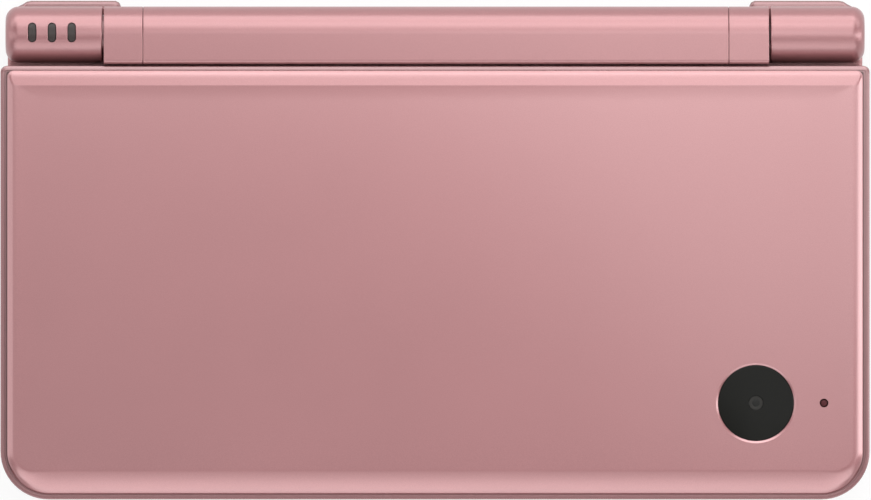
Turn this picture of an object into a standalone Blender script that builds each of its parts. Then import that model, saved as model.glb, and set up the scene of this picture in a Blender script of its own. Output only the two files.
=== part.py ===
"""A clamshell handheld game console, closed, standing on its feet. Metres, X across, Y to the rear, +Z up."""

import math

import bmesh
import bpy
from mathutils import Matrix, Vector

# Whole console
CASE_WIDTH = 0.161
CASE_DEPTH = 0.0925
CLOSED_HEIGHT = 0.0212
FRONT_CORNER_RADIUS = 0.009
REAR_CORNER_RADIUS = 0.0012
LEAST_CORNER_RADIUS = 0.0004
FIT_GAP = 0.0003
CUT_OVERRUN = 0.004
BASE_INSET = 0.0004

# Hinge, its axis along X
BARREL_RADIUS = 0.0052
BARREL_DROP = 0.0006
BARREL_LID_GAP = 0.0006
SHOULDER_PROUD = 0.00115
END_BARREL_LENGTH = 0.0176
COLLAR_LENGTH = 0.0073
BARREL_END_INSET = 0.0009
BARREL_END_FILLET = 0.0024
BARREL_WALL = 0.0012
BARREL_END_WALL = 0.0016
KNUCKLE_CORNER_FILLET = 0.0008
LID_OPENING_ANGLE = math.radians(155)
FLEX_STUB_LENGTH = 0.0032
FLEX_RADIUS = 0.0016
FLEX_BORE_RADIUS = 0.0022
FLEX_REACH = 0.009
SHAFT_SIDE = 0.0036
SHAFT_RADIUS = 0.0018
SHAFT_SQUARE_LENGTH = 0.006
SHAFT_ROUND_LENGTH = 0.010
CLICK_UNIT_LENGTH = 0.0135

# Lower half: casings
FOOT_STAND = 0.0005
BASE_HEIGHT = 0.0115
BASE_FLOOR = 0.0016
BASE_WALL = 0.0014
BASE_BOTTOM_FILLET = 0.0026
BASE_TOP_FILLET = 0.0008
BOTTOM_CASE_HEIGHT = 0.0069
DECK_RECESS = 0.0005
DECK_THICKNESS = 0.0015
DECK_RIM_WIDTH = 0.003
NECK_INSET = 0.0012
NECK_CORNER_RADIUS = 0.004
NECK_OVERLAP = 0.004
NECK_ROOF = 0.0036
NECK_REAR_WALL = 0.0038
NECK_SIDE_WALL = 0.0052
NECK_CAVITY_RADIUS = 0.002

# Upper half: frame and cover
LID_GAP = 0.0003
LID_FRAME_HEIGHT = 0.0049
LID_BOTTOM_FILLET = 0.0008
LID_BAND_WIDTH = 0.00075
LID_BAND_DROP = 0.0006
LID_FRAME_WALL = 0.0024
LID_DECK_RECESS = 0.001
LID_DECK_THICKNESS = 0.0013
LID_RIM_WIDTH = 0.0032
COVER_INSET = 0.0012
COVER_REAR_INSET = 0.00095
COVER_ROUND_WIDTH = 0.0028
COVER_ROUND_DROP = 0.0012
COVER_TOP_THICKNESS = 0.0012
COVER_WALL = 0.0013

# Screens, the same size in both halves
SCREEN_SIDE_MARGIN = 0.0355
SCREEN_END_MARGIN = 0.006175
SCREEN_CORNER_RADIUS = 0.0015
SCREEN_WINDOW_THICKNESS = 0.001
SCREEN_WINDOW_SINK = 0.00005
SCREEN_SIDE_GAP = 0.0003
PANEL_MARGIN = 0.001
PANEL_THICKNESS = 0.0024

# Outer camera and its light, in the cover's front right corner
CAMERA_FROM_SIDE = 0.0211
CAMERA_FROM_FRONT = 0.0179
CAMERA_WINDOW_RADIUS = 0.0070
CAMERA_WINDOW_THICKNESS = 0.0009
CAMERA_WINDOW_SINK = 0.00005
CAMERA_WINDOW_GAP = 0.0002
CAMERA_MODULE_SIDE = 0.0078
CAMERA_MODULE_HEIGHT = 0.0019
CAMERA_BARREL_RADIUS = 0.0031
CAMERA_BARREL_HEIGHT = 0.0011
LIGHT_FROM_SIDE = 0.0085
LIGHT_RADIUS = 0.0006
LIGHT_GAP = 0.0002
LIGHT_FOOT_RADIUS = 0.0016
LIGHT_FOOT_HEIGHT = 0.0012

# Inner camera and microphone, in the hinge barrel
INNER_CAMERA_RADIUS = 0.0021
INNER_CAMERA_LENGTH = 0.0034
INNER_CAMERA_SINK = 0.0003
MICROPHONE_OFFSET = 0.0125
MICROPHONE_RADIUS = 0.002
MICROPHONE_HEIGHT = 0.0013
MICROPHONE_HOLE_RADIUS = 0.0006

# Speakers in the lid
SPEAKER_RADIUS = 0.0095
SPEAKER_THICKNESS = 0.0024
SPEAKER_DOME_RADIUS = 0.005
SPEAKER_DOME_HEIGHT = 0.0004
SOUND_SLOT_WIDTH = 0.0016
SOUND_SLOT_LENGTH = 0.0062
SOUND_SLOT_PITCH = 0.0040
SOUND_SLOT_COUNT = 3

# Rubber plugs over the lid's screws, which also cushion it
BUMPER_RADIUS = 0.0024
BUMPER_INSET_X = 0.0085
BUMPER_INSET_FRONT = 0.0090
BUMPER_INSET_REAR = 0.0085
BUMPER_DECK_GAP = 0.0005
BUMPER_SOCKET_DEPTH = 0.0006

# Direction pad
PAD_SPAN = 0.0230
PAD_ARM_WIDTH = 0.0076
PAD_CORNER_RADIUS = 0.0009
PAD_PROUD = 0.00075
PAD_HOLE_GAP = 0.00045
PAD_FLANGE_RADIUS = 0.0095
PAD_FLANGE_THICKNESS = 0.0006
PAD_FLANGE_DROP = 0.0010
PAD_NUB_RADIUS = 0.0015
PAD_NUB_LENGTH = 0.0002
PAD_RUBBER_RADIUS = 0.0045
PAD_RUBBER_THICKNESS = 0.0006
PAD_RUBBER_CLEARANCE = 0.0003
CONTROLS_FROM_CENTRE = 0.010075

# Face buttons, four round ones in a diamond
BUTTON_RADIUS = 0.0041
BUTTON_SPREAD = 0.0086
BUTTON_PROUD = 0.0010
BUTTON_CROWN = 0.0005
BUTTON_HOLE_GAP = 0.00025
BUTTON_FLANGE_WIDTH = 0.0009
BUTTON_FLANGE_THICKNESS = 0.001
BUTTON_TRAVEL = 0.0007
RUBBER_MAT_MARGIN = 0.0055
RUBBER_MAT_THICKNESS = 0.0004
RUBBER_TOUCH_GAP = 0.0002
RUBBER_DOME_RADIUS = 0.0026
RUBBER_CORNER_RADIUS = 0.003

# Small round buttons: start, select and power
SMALL_BUTTON_RADIUS = 0.0026
SMALL_BUTTON_PROUD = 0.0006
SMALL_BUTTON_FROM_SCREEN = 0.0085
START_FROM_CONTROLS = 0.0235
SELECT_FROM_START = 0.0080
POWER_BUTTON_RADIUS = 0.0030

# Shoulder buttons at the rear corners
SHOULDER_LENGTH = 0.0209
SHOULDER_THICKNESS = 0.0020
SHOULDER_CHAMFER_X = 0.0039
SHOULDER_CHAMFER_Y = 0.0026
SHOULDER_SIDE_LENGTH = 0.0088
SHOULDER_LOW_Z = 0.0032
SHOULDER_HIGH_Z = 0.0098
SHOULDER_EDGE_FILLET = 0.0008
SHOULDER_PIVOT_INSET_X = 0.0026
SHOULDER_PIVOT_INSET_Y = 0.0029
SHOULDER_BOSS_RADIUS = 0.0014
SHOULDER_PIN_RADIUS = 0.0007
SHOULDER_PIN_LENGTH = 0.0006
SHOULDER_PIN_GAP = 0.00025
SHOULDER_BOSS_HIGH_Z = 0.0094
SHOULDER_BACK_CLEARANCE = 0.0017
SHOULDER_RECESS_LOW_Z = 0.0029
SHOULDER_RECESS_END_GAP = 0.0005

# Volume rocker in the left wall
ROCKER_LENGTH = 0.0134
ROCKER_HEIGHT = 0.0026
ROCKER_PROUD = 0.0004
ROCKER_FLANGE_MARGIN = 0.0009
ROCKER_FLANGE_THICKNESS = 0.0007
ROCKER_NECK_LENGTH = 0.0024
ROCKER_PIVOT_DEPTH = 0.0006
ROCKER_FROM_REAR = 0.0151
ROCKER_Z = 0.0048
ROCKER_HEEL_DROP = 0.0002

# Memory card slot and its cover in the right wall
CARD_COVER_LENGTH = 0.0277
CARD_COVER_HEIGHT = 0.0030
CARD_COVER_THICKNESS = 0.0011
CARD_COVER_FROM_CENTRE = 0.013775
CARD_COVER_LOW_Z = 0.0028
CARD_SOCKET_DEPTH = 0.0270
CARD_SOCKET_WALL = 0.0004
CARD_SOCKET_SIDE_WALL = 0.0012
CARD_SOCKET_WIDTH = 0.0272
CARD_SOCKET_HEIGHT = 0.0032
CARD_SOCKET_SLOT_HEIGHT = 0.0023

# Stylus, kept along X in the right wall
STYLUS_RADIUS = 0.0023
STYLUS_LENGTH = 0.0920
STYLUS_TIP_LENGTH = 0.0060
STYLUS_TIP_RADIUS = 0.0006
STYLUS_HEAD_FILLET = 0.0008
STYLUS_FROM_FRONT = 0.01325
STYLUS_Z = 0.0045

# Game card slot, charging socket and headphone socket
GAME_SLOT_WIDTH = 0.0340
GAME_SLOT_HEIGHT = 0.0039
GAME_SLOT_LOW_Z = 0.00265
GAME_SOCKET_WALL = 0.00045
GAME_SOCKET_SIDE_WALL = 0.0011
GAME_SOCKET_DEPTH = 0.0325
GAME_SOCKET_BACK_WALL = 0.002
CHARGE_FROM_SIDE = 0.0425
CHARGE_WIDTH = 0.0084
CHARGE_HEIGHT = 0.0032
CHARGE_LOW_Z = 0.0030
CHARGE_SOCKET_DEPTH = 0.0090
CHARGE_SOCKET_WALL = 0.0006
CHARGE_TONGUE_HEIGHT = 0.0010
PHONE_FROM_SIDE = 0.0245
PHONE_Z = 0.0045
PHONE_RADIUS = 0.0018
PHONE_NOSE_RADIUS = 0.0022
PHONE_BODY_WIDTH = 0.0064
PHONE_BODY_DEPTH = 0.0115
PHONE_BODY_HEIGHT = 0.0042
PHONE_BORE_DEPTH = 0.0100

# Board, battery and battery cover
BOARD_LOW_Z = 0.0059
BOARD_THICKNESS = 0.001
BOARD_SIDE_MARGIN = 0.0075
BOARD_FROM_STYLUS = 0.0048
BOARD_REAR_MARGIN = 0.0046
BATTERY_SIDE_MARGIN = 0.0105
BATTERY_FROM_SOCKET = 0.0109
BATTERY_FROM_STYLUS = 0.0130
BATTERY_REAR_MARGIN = 0.0136
BATTERY_THICKNESS = 0.0034
BATTERY_EDGE_RADIUS = 0.0012
COVER_MARGIN = 0.0015
BATTERY_COVER_TAB = 0.0055
BATTERY_COVER_THICKNESS = 0.0013
BATTERY_COVER_RADIUS = 0.002
TAB_LENGTH = 0.0068
TAB_THICKNESS = 0.0012
TAB_OVERLAP = 0.0012
TAB_HALF_WIDTH = 0.0032
TAB_INSET = 0.00725

# Screws and feet
POST_RADIUS = 0.0024
SCREW_HEAD_RADIUS = 0.0017
SCREW_HEAD_HEIGHT = 0.0006
SCREW_HEAD_SINK = 0.0002
SCREW_SEAT_GAP = 0.0001
SCREW_SHANK_RADIUS = 0.0008
SCREW_SHANK_LENGTH = 0.0052
COVER_SCREW_SHANK_LENGTH = 0.0022
SCREW_SLOT_RADIUS = 0.0006
SCREW_SLOT_DEPTH = 0.0003
SCREW_FRONT_FROM_SIDE = 0.0105
SCREW_FROM_FRONT = 0.00675
SCREW_REAR_FROM_SIDE = 0.0115
SCREW_FROM_REAR = 0.0009
FOOT_RADIUS = 0.0033
FOOT_HEIGHT = 0.001
FOOT_POCKET_DEPTH = 0.0008
FOOT_FROM_SIDE = 0.0105
FOOT_FROM_FRONT = 0.01825
FOOT_FROM_REAR = 0.0073

# Status lights in the left barrel
STATUS_SLOT_WIDTH = 0.00155
STATUS_SLOT_LENGTH = 0.0037
STATUS_SLOT_PITCH = 0.00366
STATUS_SLOT_COUNT = 3
STATUS_FROM_END = 0.0050
STATUS_REAR_OFFSET = 0.00035
STATUS_GAP = 0.00012
STATUS_SINK = 0.0001
STATUS_BAR_HALF_WIDTH = 0.0010
STATUS_BAR_THICKNESS = 0.0006
STATUS_BAR_DROP = 0.0017
STATUS_BAR_MARGIN = 0.0004

# How finely round shapes are divided
CORNER_STEPS = 6
SMALL_CORNER_STEPS = 2
FILLET_STEPS = 4
BARREL_SIDES = 32
ROUND_SIDES = 24
SMALL_SIDES = 12
CAMERA_SIDES = 40

# Levels and places that follow from the sizes above
HALF_WIDTH = CASE_WIDTH / 2
FRONT_Y = -CASE_DEPTH / 2
HINGE_Y = CASE_DEPTH / 2 - SHOULDER_PROUD - BARREL_RADIUS
HINGE_Z = CLOSED_HEIGHT - BARREL_DROP - BARREL_RADIUS
LID_REAR_Y = HINGE_Y - BARREL_RADIUS - BARREL_LID_GAP
KNUCKLE_FRONT_Y = LID_REAR_Y + FIT_GAP
TROUGH_RADIUS = BARREL_RADIUS + FIT_GAP
BARREL_BORE = BARREL_RADIUS - BARREL_WALL
BASE_HALF_WIDTH = HALF_WIDTH - BASE_INSET
BASE_FRONT_Y = FRONT_Y + BASE_INSET
NECK_HALF_WIDTH = HALF_WIDTH - NECK_INSET
NECK_REAR_Y = HINGE_Y + BARREL_RADIUS - BASE_INSET / 2
BASE_LOW_Z = FOOT_STAND
FLOOR_TOP_Z = BASE_LOW_Z + BASE_FLOOR
BASE_TOP_Z = BASE_LOW_Z + BASE_HEIGHT
PARTING_Z = BASE_LOW_Z + BOTTOM_CASE_HEIGHT
TOP_CASE_LOW_Z = PARTING_Z + FIT_GAP
DECK_Z = BASE_TOP_Z - DECK_RECESS
DECK_UNDERSIDE_Z = DECK_Z - DECK_THICKNESS
NECK_ROOF_Z = BASE_TOP_Z - NECK_ROOF
LID_LOW_Z = BASE_TOP_Z + LID_GAP
LID_DECK_Z = LID_LOW_Z + LID_DECK_RECESS
LID_DECK_TOP_Z = LID_DECK_Z + LID_DECK_THICKNESS
LID_LEDGE_Z = LID_LOW_Z + LID_FRAME_HEIGHT
COVER_LOW_Z = LID_LEDGE_Z + FIT_GAP
COVER_UNDERSIDE_Z = CLOSED_HEIGHT - COVER_TOP_THICKNESS
COVER_SIDE_X = HALF_WIDTH - COVER_INSET
COVER_FRONT_Y = FRONT_Y + COVER_INSET
COVER_REAR_Y = LID_REAR_Y - COVER_REAR_INSET
SCREEN_CENTRE_Y = (FRONT_Y + LID_REAR_Y) / 2
SCREEN_OPENING_WIDTH = CASE_WIDTH - 2 * SCREEN_SIDE_MARGIN
SCREEN_OPENING_DEPTH = LID_REAR_Y - FRONT_Y - 2 * SCREEN_END_MARGIN
MARGIN_CENTRE_X = (SCREEN_OPENING_WIDTH / 2 + HALF_WIDTH - DECK_RIM_WIDTH) / 2
CAMERA_X = HALF_WIDTH - CAMERA_FROM_SIDE
CAMERA_Y = FRONT_Y + CAMERA_FROM_FRONT
LIGHT_X = HALF_WIDTH - LIGHT_FROM_SIDE
SPEAKER_Y = SCREEN_CENTRE_Y
CONTROLS_Y = SCREEN_CENTRE_Y + CONTROLS_FROM_CENTRE
START_Y = CONTROLS_Y - START_FROM_CONTROLS
SELECT_Y = START_Y - SELECT_FROM_START
POWER_Y = SELECT_Y
SMALL_BUTTON_X = SCREEN_OPENING_WIDTH / 2 + SMALL_BUTTON_FROM_SCREEN
BARREL_OUTER_X = HALF_WIDTH - BARREL_END_INSET
BARREL_INNER_X = BARREL_OUTER_X - END_BARREL_LENGTH
KNUCKLE_HALF_LENGTH = BARREL_INNER_X - FIT_GAP
COLLAR_INNER_X = KNUCKLE_HALF_LENGTH - COLLAR_LENGTH
BOARD_TOP_Z = BOARD_LOW_Z + BOARD_THICKNESS
NECK_CAVITY_REAR_Y = NECK_REAR_Y - NECK_REAR_WALL
BUTTON_FLANGE_TOP_Z = DECK_UNDERSIDE_Z - FIT_GAP
BUTTON_FLANGE_LOW_Z = BUTTON_FLANGE_TOP_Z - BUTTON_FLANGE_THICKNESS
RUBBER_DOME_TOP_Z = BUTTON_FLANGE_LOW_Z - BUTTON_TRAVEL - RUBBER_TOUCH_GAP
SHOULDER_REAR_Y = CASE_DEPTH / 2
SHOULDER_INNER_X = NECK_HALF_WIDTH - SHOULDER_LENGTH
SHOULDER_PIVOT_X = SHOULDER_INNER_X + SHOULDER_PIVOT_INSET_X
SHOULDER_PIVOT_Y = SHOULDER_REAR_Y - SHOULDER_PIVOT_INSET_Y
ROCKER_Y = LID_REAR_Y - ROCKER_FROM_REAR
CARD_COVER_REAR_Y = SCREEN_CENTRE_Y + CARD_COVER_FROM_CENTRE
STYLUS_Y = FRONT_Y + STYLUS_FROM_FRONT
CHARGE_X = HALF_WIDTH - CHARGE_FROM_SIDE
PHONE_X = -HALF_WIDTH + PHONE_FROM_SIDE
BOARD_HALF_WIDTH = HALF_WIDTH - BOARD_SIDE_MARGIN
BOARD_FRONT_Y = STYLUS_Y + BOARD_FROM_STYLUS
BOARD_REAR_Y = LID_REAR_Y - BOARD_REAR_MARGIN
BATTERY_LEFT_X = -HALF_WIDTH + BATTERY_SIDE_MARGIN
BATTERY_RIGHT_X = -GAME_SLOT_WIDTH / 2 - GAME_SOCKET_SIDE_WALL - BATTERY_FROM_SOCKET
BATTERY_FRONT_Y = STYLUS_Y + BATTERY_FROM_STYLUS
BATTERY_REAR_Y = LID_REAR_Y - BATTERY_REAR_MARGIN
TAB_SPREAD = (BATTERY_REAR_Y - BATTERY_FRONT_Y) / 2 - TAB_INSET
SCREW_FRONT_X = HALF_WIDTH - SCREW_FRONT_FROM_SIDE
SCREW_FRONT_Y = FRONT_Y + SCREW_FROM_FRONT
SCREW_REAR_X = HALF_WIDTH - SCREW_REAR_FROM_SIDE
SCREW_REAR_Y = LID_REAR_Y - SCREW_FROM_REAR
FOOT_X = HALF_WIDTH - FOOT_FROM_SIDE
FOOT_FRONT_Y = FRONT_Y + FOOT_FROM_FRONT
FOOT_REAR_Y = LID_REAR_Y - FOOT_FROM_REAR
LID_PIVOT = Vector((0, HINGE_Y, HINGE_Z))

# Colour, roughness and metallic value of each material
MATERIALS = {
    "rose_metallic": ((0.53, 0.26, 0.27), 0.34, 0.7),
    "rose_satin": ((0.55, 0.30, 0.31), 0.45, 0.3),
    "rose_button": ((0.50, 0.25, 0.27), 0.35, 0.1),
    "black_gloss": ((0.008, 0.008, 0.009), 0.08, 0.0),
    "smoked_clear": ((0.05, 0.045, 0.045), 0.2, 0.0),
    "steel": ((0.55, 0.55, 0.56), 0.3, 1.0),
    "black_plastic": ((0.02, 0.02, 0.022), 0.5, 0.0),
    "grey_rubber": ((0.16, 0.14, 0.14), 0.8, 0.0),
    "board_green": ((0.02, 0.11, 0.06), 0.5, 0.0),
    "battery_grey": ((0.30, 0.30, 0.31), 0.5, 0.0),
    "flex_amber": ((0.42, 0.20, 0.05), 0.45, 0.0),
}


def clear_scene():
    for item in list(bpy.data.objects):
        bpy.data.objects.remove(item)


def material_named(name):
    found = bpy.data.materials.get(name)
    if found:
        return found
    colour, roughness, metallic = MATERIALS[name]
    made = bpy.data.materials.new(name)
    made.use_nodes = True
    shader = made.node_tree.nodes["Principled BSDF"]
    shader.inputs["Base Color"].default_value = (*colour, 1)
    shader.inputs["Roughness"].default_value = roughness
    shader.inputs["Metallic"].default_value = metallic
    return made


def arc(centre, radius, start, stop, steps):
    """Points along an arc, in degrees, both ends included."""
    turns = [math.radians(start + (stop - start) * i / steps) for i in range(steps + 1)]
    return [(centre[0] + radius * math.cos(a), centre[1] + radius * math.sin(a)) for a in turns]


def rounded_rectangle(left, right, front, rear, front_radius, rear_radius, front_steps, rear_steps):
    """A plan outline, anticlockwise from its right side, with its own radius at the front and the rear."""
    rear_right = (right - rear_radius, rear - rear_radius)
    rear_left = (left + rear_radius, rear - rear_radius)
    front_left = (left + front_radius, front + front_radius)
    front_right = (right - front_radius, front + front_radius)
    points = arc(rear_right, rear_radius, 0, 90, rear_steps)
    points += arc(rear_left, rear_radius, 90, 180, rear_steps)
    points += arc(front_left, front_radius, 180, 270, front_steps)
    points += arc(front_right, front_radius, 270, 360, front_steps)
    return points


def pill(centre, width, length):
    """A slot with round ends, its length along the drawing's second axis."""
    x, y = centre
    reach = (length - width) / 2
    points = arc((x, y + reach), width / 2, 0, 180, 2 * FILLET_STEPS)
    return points + arc((x, y - reach), width / 2, 180, 360, 2 * FILLET_STEPS)


def even_rectangle(centre, width, depth, radius, steps=SMALL_CORNER_STEPS):
    """A rounded rectangle about a centre, with one corner radius."""
    x, y = centre
    return rounded_rectangle(
        x - width / 2, x + width / 2, y - depth / 2, y + depth / 2, radius, radius, steps, steps
    )


def circle(centre, radius, sides):
    turns = [2 * math.pi * (i + 0.5) / sides for i in range(sides)]
    return [(centre[0] + radius * math.cos(a), centre[1] + radius * math.sin(a)) for a in turns]


def placed(point, level, axis):
    """A drawing's point at a level along an axis: (x, y) on Z, (y, z) on X, (x, z) on Y."""
    u, v = point
    return {"Z": (u, v, level), "X": (level, u, v), "Y": (u, level, v)}[axis]


def loft(outlines, levels, axis="Z"):
    """A closed body through outlines of equal point counts, one at each level."""
    shape = bmesh.new()
    rings = []
    for outline, level in zip(outlines, levels):
        rings.append([shape.verts.new(placed(point, level, axis)) for point in outline])
    count = len(rings[0])
    for low, high in zip(rings, rings[1:]):
        for i in range(count):
            after = (i + 1) % count
            shape.faces.new((low[i], low[after], high[after], high[i]))
    shape.faces.new(rings[0][::-1])
    shape.faces.new(rings[-1])
    bmesh.ops.recalc_face_normals(shape, faces=shape.faces)
    mesh = bpy.data.meshes.new("loft")
    shape.to_mesh(mesh)
    shape.free()
    body = bpy.data.objects.new("loft", mesh)
    bpy.context.scene.collection.objects.link(body)
    return body


def prism(outline, low, high, axis="Z"):
    return loft([outline, outline], [low, high], axis)


def box(x_span, y_span, z_span):
    (left, right), (front, rear), (low, high) = x_span, y_span, z_span
    return prism([(left, front), (right, front), (right, rear), (left, rear)], low, high)


def cylinder(centre, radius, low, high, sides, axis="Z"):
    return prism(circle(centre, radius, sides), low, high, axis)


def turned(centre, profile, sides, axis="Z"):
    """A round body from (level, radius) pairs along its axis."""
    outlines = [circle(centre, radius, sides) for _, radius in profile]
    return loft(outlines, [level for level, _ in profile], axis)


def combine(body, tool, operation):
    """Cuts, joins or intersects body with tool, and uses the tool up."""
    modifier = body.modifiers.new(operation.lower(), "BOOLEAN")
    modifier.operation = operation
    modifier.object = tool
    bpy.context.view_layer.update()
    graph = bpy.context.evaluated_depsgraph_get()
    mesh = bpy.data.meshes.new_from_object(body.evaluated_get(graph))
    body.modifiers.clear()
    body.data = mesh
    bpy.data.objects.remove(tool)
    return body


def cut(body, *tools):
    for tool in tools:
        combine(body, tool, "DIFFERENCE")
    return body


def join(body, *tools):
    for tool in tools:
        combine(body, tool, "UNION")
    return body


def mirrored(body):
    """The body turned over to the other side of X = 0, its faces still pointing out."""
    body.data.transform(Matrix.Scale(-1, 4, (1, 0, 0)))
    body.data.flip_normals()
    return body


def finish(body, name, material, origin=(0, 0, 0), parent=None):
    """Names the piece, gives it its material and puts its origin, such as a pivot, in place."""
    body.name = name
    body.data.name = name
    body.data.materials.clear()
    body.data.materials.append(material_named(material))
    origin = Vector(origin)
    body.data.transform(Matrix.Translation(-origin))
    body.data.shade_smooth()
    body.data.set_sharp_from_angle(angle=math.radians(32))
    body.location = origin
    if parent:
        body.parent = parent
        body.location = origin - parent.location
    return body


def pivot(name, place):
    empty = bpy.data.objects.new(name, None)
    empty.location = place
    bpy.context.scene.collection.objects.link(empty)
    return empty


def fillet(width, drop, steps=FILLET_STEPS):
    """(inset, height) pairs up a rounded edge, from the side wall to the flat face."""
    turns = [math.radians(90) * i / steps for i in range(steps + 1)]
    return [(width * (1 - math.cos(a)), drop * math.sin(a)) for a in turns]


def casing_outline(inset, half_width, front, rear):
    """The main plan shape, round at the front corners and nearly square at the rear."""
    return rounded_rectangle(
        -half_width + inset, half_width - inset, front + inset, rear - inset,
        max(FRONT_CORNER_RADIUS - inset, LEAST_CORNER_RADIUS),
        max(REAR_CORNER_RADIUS - inset, LEAST_CORNER_RADIUS),
        CORNER_STEPS, SMALL_CORNER_STEPS,
    )


def base_outline(inset):
    return casing_outline(inset, BASE_HALF_WIDTH, BASE_FRONT_Y, LID_REAR_Y)


def lid_outline(inset):
    return casing_outline(inset, HALF_WIDTH, FRONT_Y, LID_REAR_Y)


def cover_outline(inset):
    """The cover's plan, which stands in from the frame's and keeps round corners in step with it."""
    return rounded_rectangle(
        -COVER_SIDE_X + inset, COVER_SIDE_X - inset, COVER_FRONT_Y + inset, COVER_REAR_Y - inset,
        max(FRONT_CORNER_RADIUS - COVER_INSET - inset, LEAST_CORNER_RADIUS),
        max(REAR_CORNER_RADIUS - inset, LEAST_CORNER_RADIUS),
        CORNER_STEPS, SMALL_CORNER_STEPS,
    )


def neck_outline(inset):
    """The part of the lower half behind the lid, under the hinge."""
    half_width = NECK_HALF_WIDTH - inset
    return rounded_rectangle(
        -half_width, half_width, LID_REAR_Y - NECK_OVERLAP, NECK_REAR_Y - inset,
        LEAST_CORNER_RADIUS, max(NECK_CORNER_RADIUS - inset, LEAST_CORNER_RADIUS),
        SMALL_CORNER_STEPS, FILLET_STEPS,
    )


def filleted(outline, low, high, low_fillet, high_fillet):
    """A body on an outline function, its bottom and top edges rounded by their own radii."""
    insets = []
    levels = []
    if low_fillet:
        for inset, height in reversed(fillet(low_fillet, low_fillet)):
            insets.append(inset)
            levels.append(low + low_fillet - height)
    else:
        insets.append(0)
        levels.append(low)
    if high_fillet:
        for inset, height in fillet(high_fillet, high_fillet):
            insets.append(inset)
            levels.append(high - high_fillet + height)
    else:
        insets.append(0)
        levels.append(high)
    return loft([outline(inset) for inset in insets], levels)


def hinge_clearance(half_length):
    """Everything above the hinge trough: a round bottom, then the slope that the open lid needs."""
    tilt = math.degrees(LID_OPENING_ANGLE)
    slope_end = arc((HINGE_Y, HINGE_Z), TROUGH_RADIUS, 180, 450 - tilt, BARREL_SIDES // 2)
    along = (math.cos(math.pi - LID_OPENING_ANGLE), math.sin(math.pi - LID_OPENING_ANGLE))
    reach = CASE_DEPTH / 2
    last = slope_end[-1]
    outline = slope_end + [(last[0] + reach * along[0], last[1] + reach * along[1])]
    outline += [(HINGE_Y + reach, HINGE_Z + reach), (HINGE_Y - TROUGH_RADIUS, HINGE_Z + reach)]
    return prism(outline, -half_length, half_length, "X")


def shoulder_recess():
    """Plan of the space at the rear right corner that the shoulder button swings into."""
    back = SHOULDER_REAR_Y - SHOULDER_THICKNESS - SHOULDER_BACK_CLEARANCE
    side = NECK_HALF_WIDTH - SHOULDER_THICKNESS - SHOULDER_BACK_CLEARANCE
    inner = SHOULDER_INNER_X - SHOULDER_RECESS_END_GAP
    near = SHOULDER_REAR_Y - SHOULDER_SIDE_LENGTH - SHOULDER_BACK_CLEARANCE
    face = SHOULDER_REAR_Y - SHOULDER_THICKNESS - FIT_GAP
    boss_end = SHOULDER_PIVOT_X + SHOULDER_BOSS_RADIUS + FIT_GAP
    outside_x = HALF_WIDTH + CUT_OVERRUN
    outside_y = SHOULDER_REAR_Y + CUT_OVERRUN
    return [
        (inner, face), (boss_end, face), (boss_end, back), (side - SHOULDER_CHAMFER_X / 2, back),
        (side, back - SHOULDER_CHAMFER_Y / 2), (side, near), (outside_x, near), (outside_x, outside_y),
        (inner, outside_y),
    ]


def cut_shoulder_recess(body):
    """Cuts both rear corners, the pockets of the pivot bosses and the sockets of their pins."""
    boss_gap = SHOULDER_BOSS_RADIUS + FIT_GAP
    for side in (1, -1):
        outline = [(x * side, y) for x, y in shoulder_recess()]
        cut(body, prism(outline, SHOULDER_RECESS_LOW_Z, SHOULDER_HIGH_Z + FIT_GAP))
        x = SHOULDER_PIVOT_X * side
        cut(body, box((x - boss_gap, x + boss_gap), (SHOULDER_PIVOT_Y - boss_gap, SHOULDER_REAR_Y),
                      (SHOULDER_RECESS_LOW_Z, SHOULDER_BOSS_HIGH_Z + FIT_GAP)))
        radius = SHOULDER_PIN_RADIUS + SHOULDER_PIN_GAP
        low = SHOULDER_LOW_Z - SHOULDER_PIN_LENGTH - FIT_GAP
        high = SHOULDER_BOSS_HIGH_Z + SHOULDER_PIN_LENGTH + FIT_GAP
        cut(body, cylinder((x, SHOULDER_PIVOT_Y), radius, low, high, SMALL_SIDES))
    return body


def case_screw_places():
    front = [(side * SCREW_FRONT_X, SCREW_FRONT_Y) for side in (-1, 1)]
    rear = [(side * SCREW_REAR_X, SCREW_REAR_Y) for side in (-1, 1)]
    return front + rear


def cover_screw_places():
    x = BATTERY_RIGHT_X + COVER_MARGIN + BATTERY_COVER_TAB / 2
    middle = (BATTERY_FRONT_Y + BATTERY_REAR_Y) / 2
    return [(x, middle - TAB_SPREAD), (x, middle + TAB_SPREAD)]


def foot_places():
    return [(side * FOOT_X, y) for y in (FOOT_FRONT_Y, FOOT_REAR_Y) for side in (-1, 1)]


def battery_cover_outline(growth):
    """The battery cover's plan, grown by a gap for the opening it fills."""
    return rounded_rectangle(
        BATTERY_LEFT_X - COVER_MARGIN - growth, BATTERY_RIGHT_X + COVER_MARGIN + BATTERY_COVER_TAB + growth,
        BATTERY_FRONT_Y - COVER_MARGIN - growth, BATTERY_REAR_Y + COVER_MARGIN + growth,
        BATTERY_COVER_RADIUS + growth, BATTERY_COVER_RADIUS + growth, SMALL_CORNER_STEPS, SMALL_CORNER_STEPS,
    )


def card_cover_span():
    return CARD_COVER_REAR_Y - CARD_COVER_LENGTH, CARD_COVER_REAR_Y


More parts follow.
